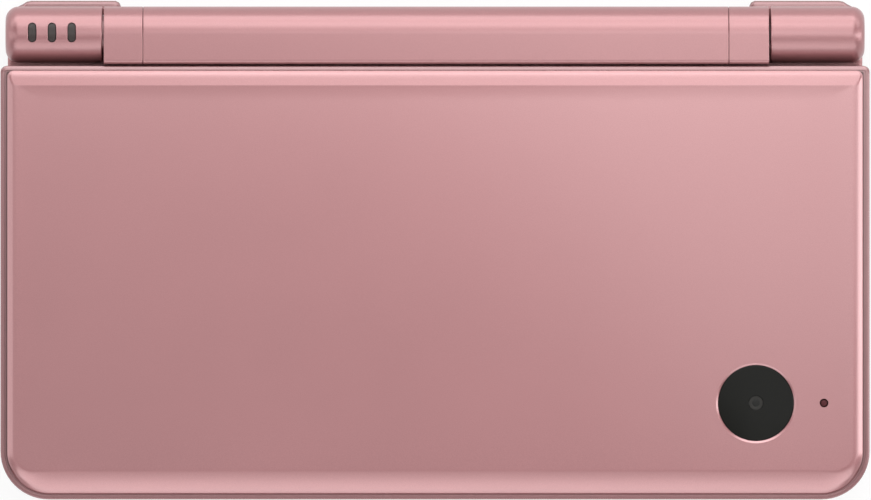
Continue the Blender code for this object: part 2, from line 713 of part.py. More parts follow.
def build_bottom_case():
    case = filleted(base_outline, BASE_LOW_Z, PARTING_Z, BASE_BOTTOM_FILLET, 0)
    join(case, filleted(neck_outline, BASE_LOW_Z, PARTING_Z, BASE_BOTTOM_FILLET, 0))
    cut(case, prism(base_outline(BASE_WALL), FLOOR_TOP_Z, PARTING_Z + CUT_OVERRUN))
    cut(case, neck_cavity(FLOOR_TOP_Z, PARTING_Z + CUT_OVERRUN))
    cut_shoulder_recess(case)
    # battery opening, with two tabs over the cover that take its screws
    cut(case, prism(battery_cover_outline(FIT_GAP), BASE_LOW_Z - CUT_OVERRUN, FLOOR_TOP_Z + CUT_OVERRUN))
    for x, y in cover_screw_places():
        edge = BATTERY_RIGHT_X + COVER_MARGIN + BATTERY_COVER_TAB + FIT_GAP
        tab_low = FLOOR_TOP_Z - TAB_OVERLAP / 2
        spans = ((edge - TAB_LENGTH, edge + TAB_OVERLAP), (y - TAB_HALF_WIDTH, y + TAB_HALF_WIDTH))
        tab = box(*spans, (tab_low, FLOOR_TOP_Z + TAB_THICKNESS))
        under = BASE_LOW_Z + BATTERY_COVER_THICKNESS + FIT_GAP
        join(case, tab)
        cut(case, prism(even_rectangle((edge - TAB_LENGTH, y), 2 * TAB_LENGTH, 2 * TAB_HALF_WIDTH + FIT_GAP,
                                       LEAST_CORNER_RADIUS), BASE_LOW_Z, under))
        cut(case, cylinder((x, y), SCREW_SHANK_RADIUS + FIT_GAP, BASE_LOW_Z, BASE_TOP_Z, SMALL_SIDES))
    for x, y in case_screw_places():
        head_top = BASE_LOW_Z + SCREW_HEAD_SINK + SCREW_HEAD_HEIGHT + FIT_GAP
        cut(case, cylinder((x, y), SCREW_HEAD_RADIUS + FIT_GAP, BASE_LOW_Z - CUT_OVERRUN, head_top, SMALL_SIDES))
        cut(case, cylinder((x, y), SCREW_SHANK_RADIUS + FIT_GAP, BASE_LOW_Z, PARTING_Z, SMALL_SIDES))
    for place in foot_places():
        cut(case, cylinder(place, FOOT_RADIUS + FIT_GAP, BASE_LOW_Z - CUT_OVERRUN,
                           BASE_LOW_Z + FOOT_POCKET_DEPTH, ROUND_SIDES))
    # volume rocker slot, with room inside for its flange
    half_length = ROCKER_LENGTH / 2 + FIT_GAP
    half_height = ROCKER_HEIGHT / 2 + FIT_GAP
    cut(case, box((-HALF_WIDTH - CUT_OVERRUN, -BASE_HALF_WIDTH + BASE_WALL + FIT_GAP),
                  (ROCKER_Y - half_length, ROCKER_Y + half_length), (ROCKER_Z - half_height, ROCKER_Z + half_height)))
    # memory card slot behind its cover
    front, rear = card_cover_span()
    cut(case, box((BASE_HALF_WIDTH - BASE_WALL - FIT_GAP, HALF_WIDTH + CUT_OVERRUN),
                  (front - FIT_GAP, rear + FIT_GAP),
                  (CARD_COVER_LOW_Z - FIT_GAP, CARD_COVER_LOW_Z + CARD_COVER_HEIGHT + FIT_GAP)))
    cut(case, cylinder((STYLUS_Y, STYLUS_Z), STYLUS_RADIUS + FIT_GAP, SCREW_FRONT_X, HALF_WIDTH + CUT_OVERRUN,
                       ROUND_SIDES, "X"))
    # game card slot and charging socket at the rear, headphone socket at the front
    rear_span = (NECK_CAVITY_REAR_Y - CUT_OVERRUN / 2, NECK_REAR_Y + CUT_OVERRUN)
    cut(case, box((-GAME_SLOT_WIDTH / 2, GAME_SLOT_WIDTH / 2), rear_span,
                  (GAME_SLOT_LOW_Z, GAME_SLOT_LOW_Z + GAME_SLOT_HEIGHT)))
    cut(case, prism(even_rectangle((CHARGE_X, CHARGE_LOW_Z + CHARGE_HEIGHT / 2), CHARGE_WIDTH, CHARGE_HEIGHT,
                                   LEAST_CORNER_RADIUS), *rear_span, "Y"))
    cut(case, cylinder((PHONE_X, PHONE_Z), PHONE_NOSE_RADIUS + FIT_GAP, FRONT_Y - CUT_OVERRUN,
                       BASE_FRONT_Y + BASE_WALL + FIT_GAP, ROUND_SIDES, "Y"))
    return finish(case, "bottom_case", "rose_satin")


def neck_cavity(low, high):
    """The hollow under the hinge, which runs into the main one."""
    half_width = NECK_HALF_WIDTH - NECK_SIDE_WALL
    outline = rounded_rectangle(
        -half_width, half_width, LID_REAR_Y - NECK_OVERLAP, NECK_CAVITY_REAR_Y,
        LEAST_CORNER_RADIUS, NECK_CAVITY_RADIUS, SMALL_CORNER_STEPS, SMALL_CORNER_STEPS,
    )
    return prism(outline, low, high)


def screen_outline(gap):
    return even_rectangle(
        (0, SCREEN_CENTRE_Y), SCREEN_OPENING_WIDTH - 2 * gap, SCREEN_OPENING_DEPTH - 2 * gap, SCREEN_CORNER_RADIUS
    )


def pad_outline(growth):
    """The cross of the direction pad, its eight outer corners rounded."""
    reach = PAD_SPAN / 2 + growth
    half = PAD_ARM_WIDTH / 2 + growth
    radius = PAD_CORNER_RADIUS
    right_arm = arc((reach - radius, -half + radius), radius, -90, 0, SMALL_CORNER_STEPS)
    right_arm += arc((reach - radius, half - radius), radius, 0, 90, SMALL_CORNER_STEPS)
    right_arm += [(half, half)]
    points = []
    for quarter in range(4):
        a = math.radians(90) * quarter
        points += [(x * math.cos(a) - y * math.sin(a), x * math.sin(a) + y * math.cos(a)) for x, y in right_arm]
    return [(x - MARGIN_CENTRE_X, y + CONTROLS_Y) for x, y in points]


def face_button_places():
    """Names and places of the four face buttons, around the right margin's centre."""
    steps = {"front": (0, -1), "right": (1, 0), "rear": (0, 1), "left": (-1, 0)}
    return {
        name: (MARGIN_CENTRE_X + x * BUTTON_SPREAD, CONTROLS_Y + y * BUTTON_SPREAD) for name, (x, y) in steps.items()
    }


def small_button_places():
    return {
        "start_button": ((SMALL_BUTTON_X, START_Y), SMALL_BUTTON_RADIUS),
        "select_button": ((SMALL_BUTTON_X, SELECT_Y), SMALL_BUTTON_RADIUS),
        "power_button": ((-SMALL_BUTTON_X, POWER_Y), POWER_BUTTON_RADIUS),
    }


def build_top_case():
    case = filleted(base_outline, TOP_CASE_LOW_Z, BASE_TOP_Z, 0, BASE_TOP_FILLET)
    join(case, filleted(neck_outline, TOP_CASE_LOW_Z, BASE_TOP_Z, 0, BASE_TOP_FILLET))
    cut(case, prism(base_outline(BASE_WALL), TOP_CASE_LOW_Z - CUT_OVERRUN, DECK_UNDERSIDE_Z))
    cut(case, neck_cavity(TOP_CASE_LOW_Z - CUT_OVERRUN, NECK_ROOF_Z))
    cut(case, prism(base_outline(DECK_RIM_WIDTH), DECK_Z, BASE_TOP_Z + CUT_OVERRUN))
    cut(case, hinge_clearance(HALF_WIDTH + CUT_OVERRUN))
    cut_shoulder_recess(case)
    through = (DECK_UNDERSIDE_Z - CUT_OVERRUN / 2, BASE_TOP_Z + CUT_OVERRUN)
    cut(case, prism(screen_outline(0), *through))
    cut(case, prism(pad_outline(PAD_HOLE_GAP), *through))
    for place in face_button_places().values():
        cut(case, cylinder(place, BUTTON_RADIUS + BUTTON_HOLE_GAP, *through, ROUND_SIDES))
    for place, radius in small_button_places().values():
        cut(case, cylinder(place, radius + BUTTON_HOLE_GAP, *through, ROUND_SIDES))
    # posts that take the casing screws
    post_low = FLOOR_TOP_Z + FIT_GAP
    for x, y in case_screw_places():
        top = DECK_UNDERSIDE_Z + DECK_THICKNESS / 2
        join(case, cylinder((x, y), POST_RADIUS, post_low, top, SMALL_SIDES))
        screw_top = BASE_LOW_Z + SCREW_HEAD_SINK + SCREW_HEAD_HEIGHT + SCREW_SHANK_LENGTH + FIT_GAP
        cut(case, cylinder((x, y), SCREW_SHANK_RADIUS + FIT_GAP, FOOT_STAND, screw_top, SMALL_SIDES))
    return finish(case, "top_case", "rose_satin")


def build_battery_parts():
    cover = prism(battery_cover_outline(0), BASE_LOW_Z, BASE_LOW_Z + BATTERY_COVER_THICKNESS)
    head_top = BASE_LOW_Z + SCREW_HEAD_SINK + SCREW_HEAD_HEIGHT
    for place in cover_screw_places():
        cut(cover, cylinder(place, SCREW_HEAD_RADIUS + FIT_GAP, BASE_LOW_Z - CUT_OVERRUN, head_top + SCREW_SEAT_GAP,
                            SMALL_SIDES))
        cut(cover, cylinder(place, SCREW_SHANK_RADIUS + FIT_GAP, BASE_LOW_Z, BASE_TOP_Z, SMALL_SIDES))
    finish(cover, "battery_cover", "rose_satin")
    low = BASE_LOW_Z + BATTERY_COVER_THICKNESS + FIT_GAP
    outline = rounded_rectangle(
        BATTERY_LEFT_X, BATTERY_RIGHT_X, BATTERY_FRONT_Y, BATTERY_REAR_Y,
        BATTERY_EDGE_RADIUS, BATTERY_EDGE_RADIUS, SMALL_CORNER_STEPS, SMALL_CORNER_STEPS,
    )
    finish(prism(outline, low, low + BATTERY_THICKNESS), "battery_pack", "battery_grey")


def build_screw(name, place, shank_length):
    x, y = place
    low = BASE_LOW_Z + SCREW_HEAD_SINK
    neck = low + SCREW_HEAD_HEIGHT
    profile = [(low, SCREW_HEAD_RADIUS), (neck, SCREW_HEAD_RADIUS), (neck, SCREW_SHANK_RADIUS),
               (neck + shank_length, SCREW_SHANK_RADIUS)]
    screw = turned((x, y), profile, SMALL_SIDES)
    recess = cylinder((x, y), SCREW_SLOT_RADIUS, low - CUT_OVERRUN, low + SCREW_SLOT_DEPTH, 3 * 2)
    cut(screw, recess)
    finish(screw, name, "steel", origin=(x, y, low))


def build_feet():
    for number, (x, y) in enumerate(foot_places(), start=1):
        profile = [(0, FOOT_RADIUS - FIT_GAP), (FIT_GAP, FOOT_RADIUS), (FOOT_HEIGHT, FOOT_RADIUS)]
        finish(turned((x, y), profile, ROUND_SIDES), f"rubber_foot_{number}", "grey_rubber", origin=(x, y, 0))


def build_board():
    half_notch = GAME_SLOT_WIDTH / 2 + GAME_SOCKET_SIDE_WALL + FIT_GAP
    notch_y = NECK_CAVITY_REAR_Y - GAME_SOCKET_DEPTH - 2 * FIT_GAP
    outline = [
        (-BOARD_HALF_WIDTH, BOARD_FRONT_Y), (BOARD_HALF_WIDTH, BOARD_FRONT_Y), (BOARD_HALF_WIDTH, BOARD_REAR_Y),
        (half_notch, BOARD_REAR_Y), (half_notch, notch_y), (-half_notch, notch_y), (-half_notch, BOARD_REAR_Y),
        (-BOARD_HALF_WIDTH, BOARD_REAR_Y),
    ]
    board = prism(outline, BOARD_LOW_Z, BOARD_TOP_Z)
    finish(board, "main_board", "board_green")


def build_sockets():
    # game card socket, open to the rear
    width = GAME_SLOT_WIDTH / 2 + GAME_SOCKET_SIDE_WALL
    rear = NECK_CAVITY_REAR_Y - FIT_GAP
    low, high = GAME_SLOT_LOW_Z, GAME_SLOT_LOW_Z + GAME_SLOT_HEIGHT
    socket = box((-width, width), (rear - GAME_SOCKET_DEPTH, rear), (low - GAME_SOCKET_WALL / 2, high + GAME_SOCKET_WALL))
    cut(socket, box((-GAME_SLOT_WIDTH / 2, GAME_SLOT_WIDTH / 2),
                    (rear - GAME_SOCKET_DEPTH + GAME_SOCKET_BACK_WALL, rear + CUT_OVERRUN), (low, high)))
    finish(socket, "game_card_socket", "steel")
    # memory card socket, open to the right
    front, back = card_cover_span()
    middle = (front + back) / 2
    right = BASE_HALF_WIDTH - BASE_WALL - 2 * FIT_GAP
    low = FLOOR_TOP_Z + FIT_GAP
    half = CARD_SOCKET_WIDTH / 2
    socket = box((right - CARD_SOCKET_DEPTH, right), (middle - half, middle + half), (low, low + CARD_SOCKET_HEIGHT))
    inner = half - CARD_SOCKET_SIDE_WALL
    slot_low = low + CARD_SOCKET_WALL
    cut(socket, box((right - CARD_SOCKET_DEPTH + CARD_SOCKET_SIDE_WALL, right + CUT_OVERRUN),
                    (middle - inner, middle + inner), (slot_low, slot_low + CARD_SOCKET_SLOT_HEIGHT)))
    finish(socket, "memory_card_socket", "steel")
    # charging socket with its tongue
    half = CHARGE_WIDTH / 2 + CHARGE_SOCKET_WALL
    low, high = CHARGE_LOW_Z, CHARGE_LOW_Z + CHARGE_HEIGHT
    rear = NECK_CAVITY_REAR_Y - FIT_GAP
    socket = box((CHARGE_X - half, CHARGE_X + half), (rear - CHARGE_SOCKET_DEPTH, rear),
                 (low - CHARGE_SOCKET_WALL, high + CHARGE_SOCKET_WALL))
    cut(socket, box((CHARGE_X - CHARGE_WIDTH / 2, CHARGE_X + CHARGE_WIDTH / 2),
                    (rear - CHARGE_SOCKET_DEPTH + CHARGE_SOCKET_WALL, rear + CUT_OVERRUN), (low, high)))
    tongue_low = (low + high - CHARGE_TONGUE_HEIGHT) / 2
    tongue_half = CHARGE_WIDTH / 2 - 2 * CHARGE_SOCKET_WALL
    join(socket, box((CHARGE_X - tongue_half, CHARGE_X + tongue_half),
                     (rear - CHARGE_SOCKET_DEPTH + CHARGE_SOCKET_WALL / 2, rear),
                     (tongue_low, tongue_low + CHARGE_TONGUE_HEIGHT)))
    finish(socket, "charging_socket", "black_plastic")
    # headphone socket with a round nose in the front wall
    body_front = BASE_FRONT_Y + BASE_WALL + 2 * FIT_GAP
    half = PHONE_BODY_WIDTH / 2
    socket = box((PHONE_X - half, PHONE_X + half), (body_front, body_front + PHONE_BODY_DEPTH),
                 (PHONE_Z - PHONE_BODY_HEIGHT / 2, PHONE_Z + PHONE_BODY_HEIGHT / 2))
    join(socket, cylinder((PHONE_X, PHONE_Z), PHONE_NOSE_RADIUS, BASE_FRONT_Y + FIT_GAP,
                          body_front + FIT_GAP, ROUND_SIDES, "Y"))
    cut(socket, cylinder((PHONE_X, PHONE_Z), PHONE_RADIUS, FRONT_Y - CUT_OVERRUN, BASE_FRONT_Y + PHONE_BORE_DEPTH,
                         ROUND_SIDES, "Y"))
    finish(socket, "headphone_socket", "black_plastic")


def build_screens(lid_pivot):
    top = DECK_Z - SCREEN_WINDOW_SINK
    window = prism(screen_outline(SCREEN_SIDE_GAP), top - SCREEN_WINDOW_THICKNESS, top)
    finish(window, "touch_screen", "black_gloss")
    panel_top = top - SCREEN_WINDOW_THICKNESS - FIT_GAP
    panel = prism(screen_outline(PANEL_MARGIN), panel_top - PANEL_THICKNESS, panel_top)
    finish(panel, "lower_display_panel", "steel")
    low = LID_DECK_Z + SCREEN_WINDOW_SINK
    window = prism(screen_outline(SCREEN_SIDE_GAP), low, low + SCREEN_WINDOW_THICKNESS)
    finish(window, "upper_screen_window", "black_gloss", LID_PIVOT, lid_pivot)
    panel_low = low + SCREEN_WINDOW_THICKNESS + FIT_GAP
    panel = prism(screen_outline(PANEL_MARGIN), panel_low, panel_low + PANEL_THICKNESS)
    finish(panel, "upper_display_panel", "steel", LID_PIVOT, lid_pivot)


def build_direction_pad():
    """The cross on its flange, and the rubber that rocks under it. They tilt about two crossed axes."""
    centre = (-MARGIN_CENTRE_X, CONTROLS_Y)
    flange_top = DECK_UNDERSIDE_Z - PAD_FLANGE_DROP
    flange_low = flange_top - PAD_FLANGE_THICKNESS
    top = DECK_Z + PAD_PROUD
    rubber_top = flange_low - PAD_NUB_LENGTH - PAD_RUBBER_CLEARANCE
    origin = (*centre, rubber_top)
    pad = prism(pad_outline(0), flange_top - PAD_FLANGE_THICKNESS / 2, top)
    join(pad, cylinder(centre, PAD_FLANGE_RADIUS, flange_low, flange_top, ROUND_SIDES))
    join(pad, cylinder(centre, PAD_NUB_RADIUS, flange_low - PAD_NUB_LENGTH, flange_top, SMALL_SIDES))
    finish(pad, "direction_pad", "rose_button", origin)
    rubber = cylinder(centre, PAD_RUBBER_RADIUS, rubber_top - PAD_RUBBER_THICKNESS, rubber_top, ROUND_SIDES)
    finish(rubber, "direction_pad_rubber", "grey_rubber", origin)


def crowned_button(name, place, radius, proud):
    """A round button with a flange that the deck holds in, and a slightly domed top."""
    top = DECK_Z + proud
    profile = [(BUTTON_FLANGE_LOW_Z, radius + BUTTON_FLANGE_WIDTH), (BUTTON_FLANGE_TOP_Z, radius + BUTTON_FLANGE_WIDTH),
               (BUTTON_FLANGE_TOP_Z, radius)]
    crown = min(BUTTON_CROWN, proud / 2)
    for inset, height in fillet(crown, crown, FILLET_STEPS // 2):
        profile.append((top - crown + height, radius - inset))
    finish(turned(place, profile, ROUND_SIDES), name, "rose_button", origin=(*place, top))


def build_buttons():
    for name, place in face_button_places().items():
        crowned_button(f"face_button_{name}", place, BUTTON_RADIUS, BUTTON_PROUD)
    for name, (place, radius) in small_button_places().items():
        crowned_button(name, place, radius, SMALL_BUTTON_PROUD)
    low = BOARD_TOP_Z + FIT_GAP
    side = 2 * (BUTTON_SPREAD + RUBBER_MAT_MARGIN)
    mat = prism(even_rectangle((MARGIN_CENTRE_X, CONTROLS_Y), side, side, RUBBER_CORNER_RADIUS), low,
                low + RUBBER_MAT_THICKNESS)
    for place in face_button_places().values():
        join(mat, cylinder(place, RUBBER_DOME_RADIUS, low + RUBBER_MAT_THICKNESS / 2, RUBBER_DOME_TOP_Z,
                           SMALL_SIDES))
    finish(mat, "face_button_rubber", "grey_rubber")


def build_shoulder(side, name):
    """The right shoulder button, or the left one mirrored: an L-shaped shell on an upright pivot."""
    rear = SHOULDER_REAR_Y
    out = NECK_HALF_WIDTH
    thick = SHOULDER_THICKNESS
    near = rear - SHOULDER_SIDE_LENGTH

    def outline(inset):
        return [
            (SHOULDER_INNER_X + inset, rear - thick), (SHOULDER_INNER_X + inset, rear - inset),
            (out - SHOULDER_CHAMFER_X, rear - inset), (out - inset, rear - SHOULDER_CHAMFER_Y),
            (out - inset, near + inset), (out - thick, near + inset),
            (out - thick, rear - SHOULDER_CHAMFER_Y - thick / 3), (out - SHOULDER_CHAMFER_X - thick / 3, rear - thick),
        ]

    button = filleted(outline, SHOULDER_LOW_Z, SHOULDER_HIGH_Z, SHOULDER_EDGE_FILLET, SHOULDER_EDGE_FILLET)
    centre = (SHOULDER_PIVOT_X, SHOULDER_PIVOT_Y)
    low, high = SHOULDER_LOW_Z, SHOULDER_BOSS_HIGH_Z
    pin = SHOULDER_PIN_LENGTH
    join(button, cylinder(centre, SHOULDER_BOSS_RADIUS, low, high, SMALL_SIDES))
    join(button, cylinder(centre, SHOULDER_PIN_RADIUS, low - pin, high + pin, SMALL_SIDES))
    if side < 0:
        mirrored(button)
    finish(button, name, "rose_satin", origin=(side * SHOULDER_PIVOT_X, SHOULDER_PIVOT_Y, (low + high) / 2))


def build_volume_rocker():
    outer = -BASE_HALF_WIDTH - ROCKER_PROUD
    inner = outer + ROCKER_PROUD + ROCKER_NECK_LENGTH
    half = ROCKER_LENGTH / 2
    heel = half - ROCKER_PROUD
    outline = [
        (outer, ROCKER_Y - heel), (outer + ROCKER_HEEL_DROP, ROCKER_Y), (outer, ROCKER_Y + heel),
        (outer + ROCKER_PROUD, ROCKER_Y + half), (inner, ROCKER_Y + half), (inner, ROCKER_Y - half),
        (outer + ROCKER_PROUD, ROCKER_Y - half),
    ]
    rocker = prism(outline, ROCKER_Z - ROCKER_HEIGHT / 2, ROCKER_Z + ROCKER_HEIGHT / 2)
    margin = ROCKER_FLANGE_MARGIN
    join(rocker, box((inner - ROCKER_FLANGE_THICKNESS / 2, inner + ROCKER_FLANGE_THICKNESS / 2),
                     (ROCKER_Y - half - margin, ROCKER_Y + half + margin),
                     (ROCKER_Z - ROCKER_HEIGHT / 2 - margin, ROCKER_Z + ROCKER_HEIGHT / 2 + margin)))
    finish(rocker, "volume_rocker", "rose_button", origin=(-BASE_HALF_WIDTH + ROCKER_PIVOT_DEPTH, ROCKER_Y, ROCKER_Z))


def build_card_cover():
    front, rear = card_cover_span()
    cover = box((BASE_HALF_WIDTH - CARD_COVER_THICKNESS, BASE_HALF_WIDTH), (front, rear),
                (CARD_COVER_LOW_Z, CARD_COVER_LOW_Z + CARD_COVER_HEIGHT))
    finish(cover, "memory_card_cover", "rose_satin", origin=(BASE_HALF_WIDTH, rear, CARD_COVER_LOW_Z))


def build_stylus():
    head = BASE_HALF_WIDTH
    tail = head - STYLUS_LENGTH
    profile = [(tail, STYLUS_TIP_RADIUS), (tail + STYLUS_TIP_RADIUS, 2 * STYLUS_TIP_RADIUS),
               (tail + STYLUS_TIP_LENGTH, STYLUS_RADIUS), (head - STYLUS_HEAD_FILLET, STYLUS_RADIUS),
               (head, STYLUS_RADIUS - STYLUS_HEAD_FILLET)]
    stylus = turned((STYLUS_Y, STYLUS_Z), profile, ROUND_SIDES, "X")
    finish(stylus, "stylus", "rose_button", origin=(head, STYLUS_Y, STYLUS_Z))


def build_barrel_housings():
    """The two end barrels of the lower half, hollow from their inner ends."""
    for side, name in ((1, "right_hinge_barrel"), (-1, "left_hinge_barrel")):
        profile = [(BARREL_INNER_X, BARREL_RADIUS)]
        start = BARREL_OUTER_X - BARREL_END_FILLET
        for inset, height in fillet(BARREL_END_FILLET, BARREL_END_FILLET):
            profile.append((start + height, BARREL_RADIUS - inset))
        barrel = turned((HINGE_Y, HINGE_Z), profile, BARREL_SIDES, "X")
        cut(barrel, cylinder((HINGE_Y, HINGE_Z), BARREL_BORE, BARREL_INNER_X - CUT_OVERRUN,
                             BARREL_OUTER_X - BARREL_END_WALL, BARREL_SIDES, "X"))
        if side < 0:
            mirrored(barrel)
            for x in status_slot_places():
                slot = pill((x, HINGE_Y + STATUS_REAR_OFFSET), STATUS_SLOT_WIDTH, STATUS_SLOT_LENGTH)
                cut(barrel, prism(slot, HINGE_Z, CLOSED_HEIGHT + CUT_OVERRUN))
        finish(barrel, name, "rose_metallic")


def status_slot_places():
    first = -BARREL_OUTER_X + STATUS_FROM_END
    return [first + i * STATUS_SLOT_PITCH for i in range(STATUS_SLOT_COUNT)]


def build_status_light_pipe():
    """Three light windows on one bar, inside the left barrel."""
    places = status_slot_places()
    y = HINGE_Y + STATUS_REAR_OFFSET
    bar_top = HINGE_Z + BARREL_RADIUS - STATUS_BAR_DROP
    bar_low = bar_top - STATUS_BAR_THICKNESS
    margin = STATUS_SLOT_WIDTH / 2 + STATUS_BAR_MARGIN
    pipe = box((places[0] - margin, places[-1] + margin),
               (y - STATUS_BAR_HALF_WIDTH, y + STATUS_BAR_HALF_WIDTH), (bar_low, bar_top))
    for x in places:
        outline = pill((x, y), STATUS_SLOT_WIDTH - 2 * STATUS_GAP, STATUS_SLOT_LENGTH - 2 * STATUS_GAP)
        prong = prism(outline, bar_low + STATUS_BAR_THICKNESS / 2, CLOSED_HEIGHT)
        limit = cylinder((HINGE_Y, HINGE_Z), BARREL_RADIUS - STATUS_SINK, places[0] - CUT_OVERRUN,
                         places[-1] + CUT_OVERRUN, BARREL_SIDES, "X")
        combine(prong, limit, "INTERSECT")
        join(pipe, prong)
    finish(pipe, "status_light_pipe", "smoked_clear")


def knuckle_outline():
    """The lid barrel's section: round behind and below, flat on top and square to the front."""
    front = KNUCKLE_FRONT_Y
    top = HINGE_Z + BARREL_RADIUS
    low = HINGE_Z - BARREL_RADIUS / 2
    radius = KNUCKLE_CORNER_FILLET
    points = arc((HINGE_Y, HINGE_Z), BARREL_RADIUS, -120, 90, BARREL_SIDES // 2)
    points += arc((front + radius, top - radius), radius, 90, 180, SMALL_CORNER_STEPS)
    return points + [(front, low)]


def build_lid_barrel(lid_pivot):
    inner = COLLAR_INNER_X - FIT_GAP / 2
    centre = (HINGE_Y, HINGE_Z)
    barrel = prism(knuckle_outline(), -inner, inner, "X")
    reach = CASE_WIDTH / 2
    cut(barrel, cylinder(centre, BARREL_BORE, -reach, reach, BARREL_SIDES, "X"))
    below = HINGE_Z - BARREL_RADIUS - CUT_OVERRUN
    cut(barrel, cylinder((0, HINGE_Y), INNER_CAMERA_RADIUS + FIT_GAP, below, HINGE_Z, SMALL_SIDES))
    cut(barrel, cylinder((MICROPHONE_OFFSET, HINGE_Y), MICROPHONE_HOLE_RADIUS, below, HINGE_Z, SMALL_SIDES))
    finish(barrel, "lid_hinge_barrel", "rose_metallic", LID_PIVOT, lid_pivot)

    for side, name in ((-1, "left_hinge_collar"), (1, "right_hinge_collar")):
        near, far = COLLAR_INNER_X + FIT_GAP / 2, KNUCKLE_HALF_LENGTH
        collar = prism(knuckle_outline(), near, far, "X")
        if side < 0:
            # the left collar carries the hollow stub that the display cable passes through
            stub_radius = BARREL_BORE - FIT_GAP
            join(collar, cylinder(centre, stub_radius, far - FIT_GAP, far + FLEX_STUB_LENGTH, BARREL_SIDES, "X"))
            cut(collar, cylinder(centre, FLEX_BORE_RADIUS, near - CUT_OVERRUN,
                                 far + FLEX_STUB_LENGTH + CUT_OVERRUN, ROUND_SIDES, "X"))
            mirrored(collar)
        else:
            half = SHAFT_SIDE / 2 + FIT_GAP
            cut(collar, box((near - CUT_OVERRUN, far + CUT_OVERRUN), (HINGE_Y - half, HINGE_Y + half),
                            (HINGE_Z - half, HINGE_Z + half)))
        finish(collar, name, "rose_metallic", LID_PIVOT, lid_pivot)

    shaft_end = BARREL_INNER_X + SHAFT_ROUND_LENGTH
    half = SHAFT_SIDE / 2
    square_end = BARREL_INNER_X
    shaft = box((square_end - SHAFT_SQUARE_LENGTH, square_end), (HINGE_Y - half, HINGE_Y + half),
                (HINGE_Z - half, HINGE_Z + half))
    join(shaft, cylinder(centre, SHAFT_RADIUS, square_end - FIT_GAP, shaft_end, ROUND_SIDES, "X"))
    finish(shaft, "hinge_shaft", "steel", LID_PIVOT, lid_pivot)
    unit_start = square_end + FIT_GAP
    unit = cylinder(centre, BARREL_BORE - FIT_GAP, unit_start, unit_start + CLICK_UNIT_LENGTH, ROUND_SIDES, "X")
    cut(unit, cylinder(centre, SHAFT_RADIUS + FIT_GAP, unit_start - CUT_OVERRUN, shaft_end + FIT_GAP,
                       ROUND_SIDES, "X"))
    finish(unit, "hinge_click_unit", "steel")
    flex_end = KNUCKLE_HALF_LENGTH + FLEX_STUB_LENGTH + FLEX_RADIUS
    flex = cylinder(centre, FLEX_RADIUS, -flex_end, -COLLAR_INNER_X + FLEX_REACH, SMALL_SIDES, "X")
    finish(flex, "display_cable", "flex_amber", LID_PIVOT, lid_pivot)


def build_inner_camera(lid_pivot):
    low = HINGE_Z - BARREL_RADIUS + INNER_CAMERA_SINK
    camera = cylinder((0, HINGE_Y), INNER_CAMERA_RADIUS, low, low + INNER_CAMERA_LENGTH, ROUND_SIDES)
    finish(camera, "inner_camera", "black_gloss", LID_PIVOT, lid_pivot)
    reach = math.sqrt(BARREL_BORE**2 - MICROPHONE_RADIUS**2)
    low = HINGE_Z - reach + FIT_GAP
    capsule = cylinder((MICROPHONE_OFFSET, HINGE_Y), MICROPHONE_RADIUS, low, low + MICROPHONE_HEIGHT, SMALL_SIDES)
    finish(capsule, "microphone", "steel", LID_PIVOT, lid_pivot)


def bumper_places():
    front = FRONT_Y + BUMPER_INSET_FRONT
    rear = LID_REAR_Y - BUMPER_INSET_REAR
    return [(side * (HALF_WIDTH - BUMPER_INSET_X), y) for y in (front, rear) for side in (-1, 1)]


def build_lid_frame(lid_pivot):
    """The lid's inner half: a deck with the screen opening, in a wall whose top edge is the outer band."""
    levels = [(inset, LID_LOW_Z + LID_BOTTOM_FILLET - height)
              for inset, height in reversed(fillet(LID_BOTTOM_FILLET, LID_BOTTOM_FILLET))]
    band_start = LID_LEDGE_Z - LID_BAND_DROP
    levels += [(inset, band_start + height) for inset, height in fillet(LID_BAND_WIDTH, LID_BAND_DROP)]
    frame = loft([lid_outline(inset) for inset, _ in levels], [level for _, level in levels])
    cut(frame, prism(lid_outline(LID_FRAME_WALL), LID_DECK_TOP_Z, LID_LEDGE_Z + CUT_OVERRUN))
    cut(frame, prism(lid_outline(LID_RIM_WIDTH), LID_LOW_Z - CUT_OVERRUN, LID_DECK_Z))
    through = (LID_DECK_Z - CUT_OVERRUN / 4, LID_DECK_TOP_Z + CUT_OVERRUN / 4)
    cut(frame, prism(screen_outline(0), *through))
    for side in (-1, 1):
        for i in range(SOUND_SLOT_COUNT):
            x = side * MARGIN_CENTRE_X + (i - (SOUND_SLOT_COUNT - 1) / 2) * SOUND_SLOT_PITCH
            cut(frame, prism(pill((x, SPEAKER_Y), SOUND_SLOT_WIDTH, SOUND_SLOT_LENGTH), *through))
    for place in bumper_places():
        cut(frame, cylinder(place, BUMPER_RADIUS + FIT_GAP, LID_LOW_Z, LID_DECK_Z + BUMPER_SOCKET_DEPTH, SMALL_SIDES))
    finish(frame, "lid_frame", "rose_satin", LID_PIVOT, lid_pivot)
    for number, (x, y) in enumerate(bumper_places(), start=1):
        low = DECK_Z + BUMPER_DECK_GAP
        high = LID_DECK_Z + BUMPER_SOCKET_DEPTH - FIT_GAP
        profile = [(low, BUMPER_RADIUS - FIT_GAP), (low + FIT_GAP, BUMPER_RADIUS), (high, BUMPER_RADIUS)]
        finish(turned((x, y), profile, SMALL_SIDES), f"lid_bumper_{number}", "grey_rubber", LID_PIVOT, lid_pivot)


def build_speakers(lid_pivot):
    for side, name in ((-1, "left_speaker"), (1, "right_speaker")):
        low = LID_DECK_TOP_Z + FIT_GAP
        high = low + SPEAKER_THICKNESS
        centre = (side * MARGIN_CENTRE_X, SPEAKER_Y)
        profile = [(low, SPEAKER_RADIUS), (high, SPEAKER_RADIUS), (high, SPEAKER_DOME_RADIUS),
                   (high + SPEAKER_DOME_HEIGHT, SPEAKER_DOME_RADIUS)]
        finish(turned(centre, profile, ROUND_SIDES), name, "black_plastic", LID_PIVOT, lid_pivot)


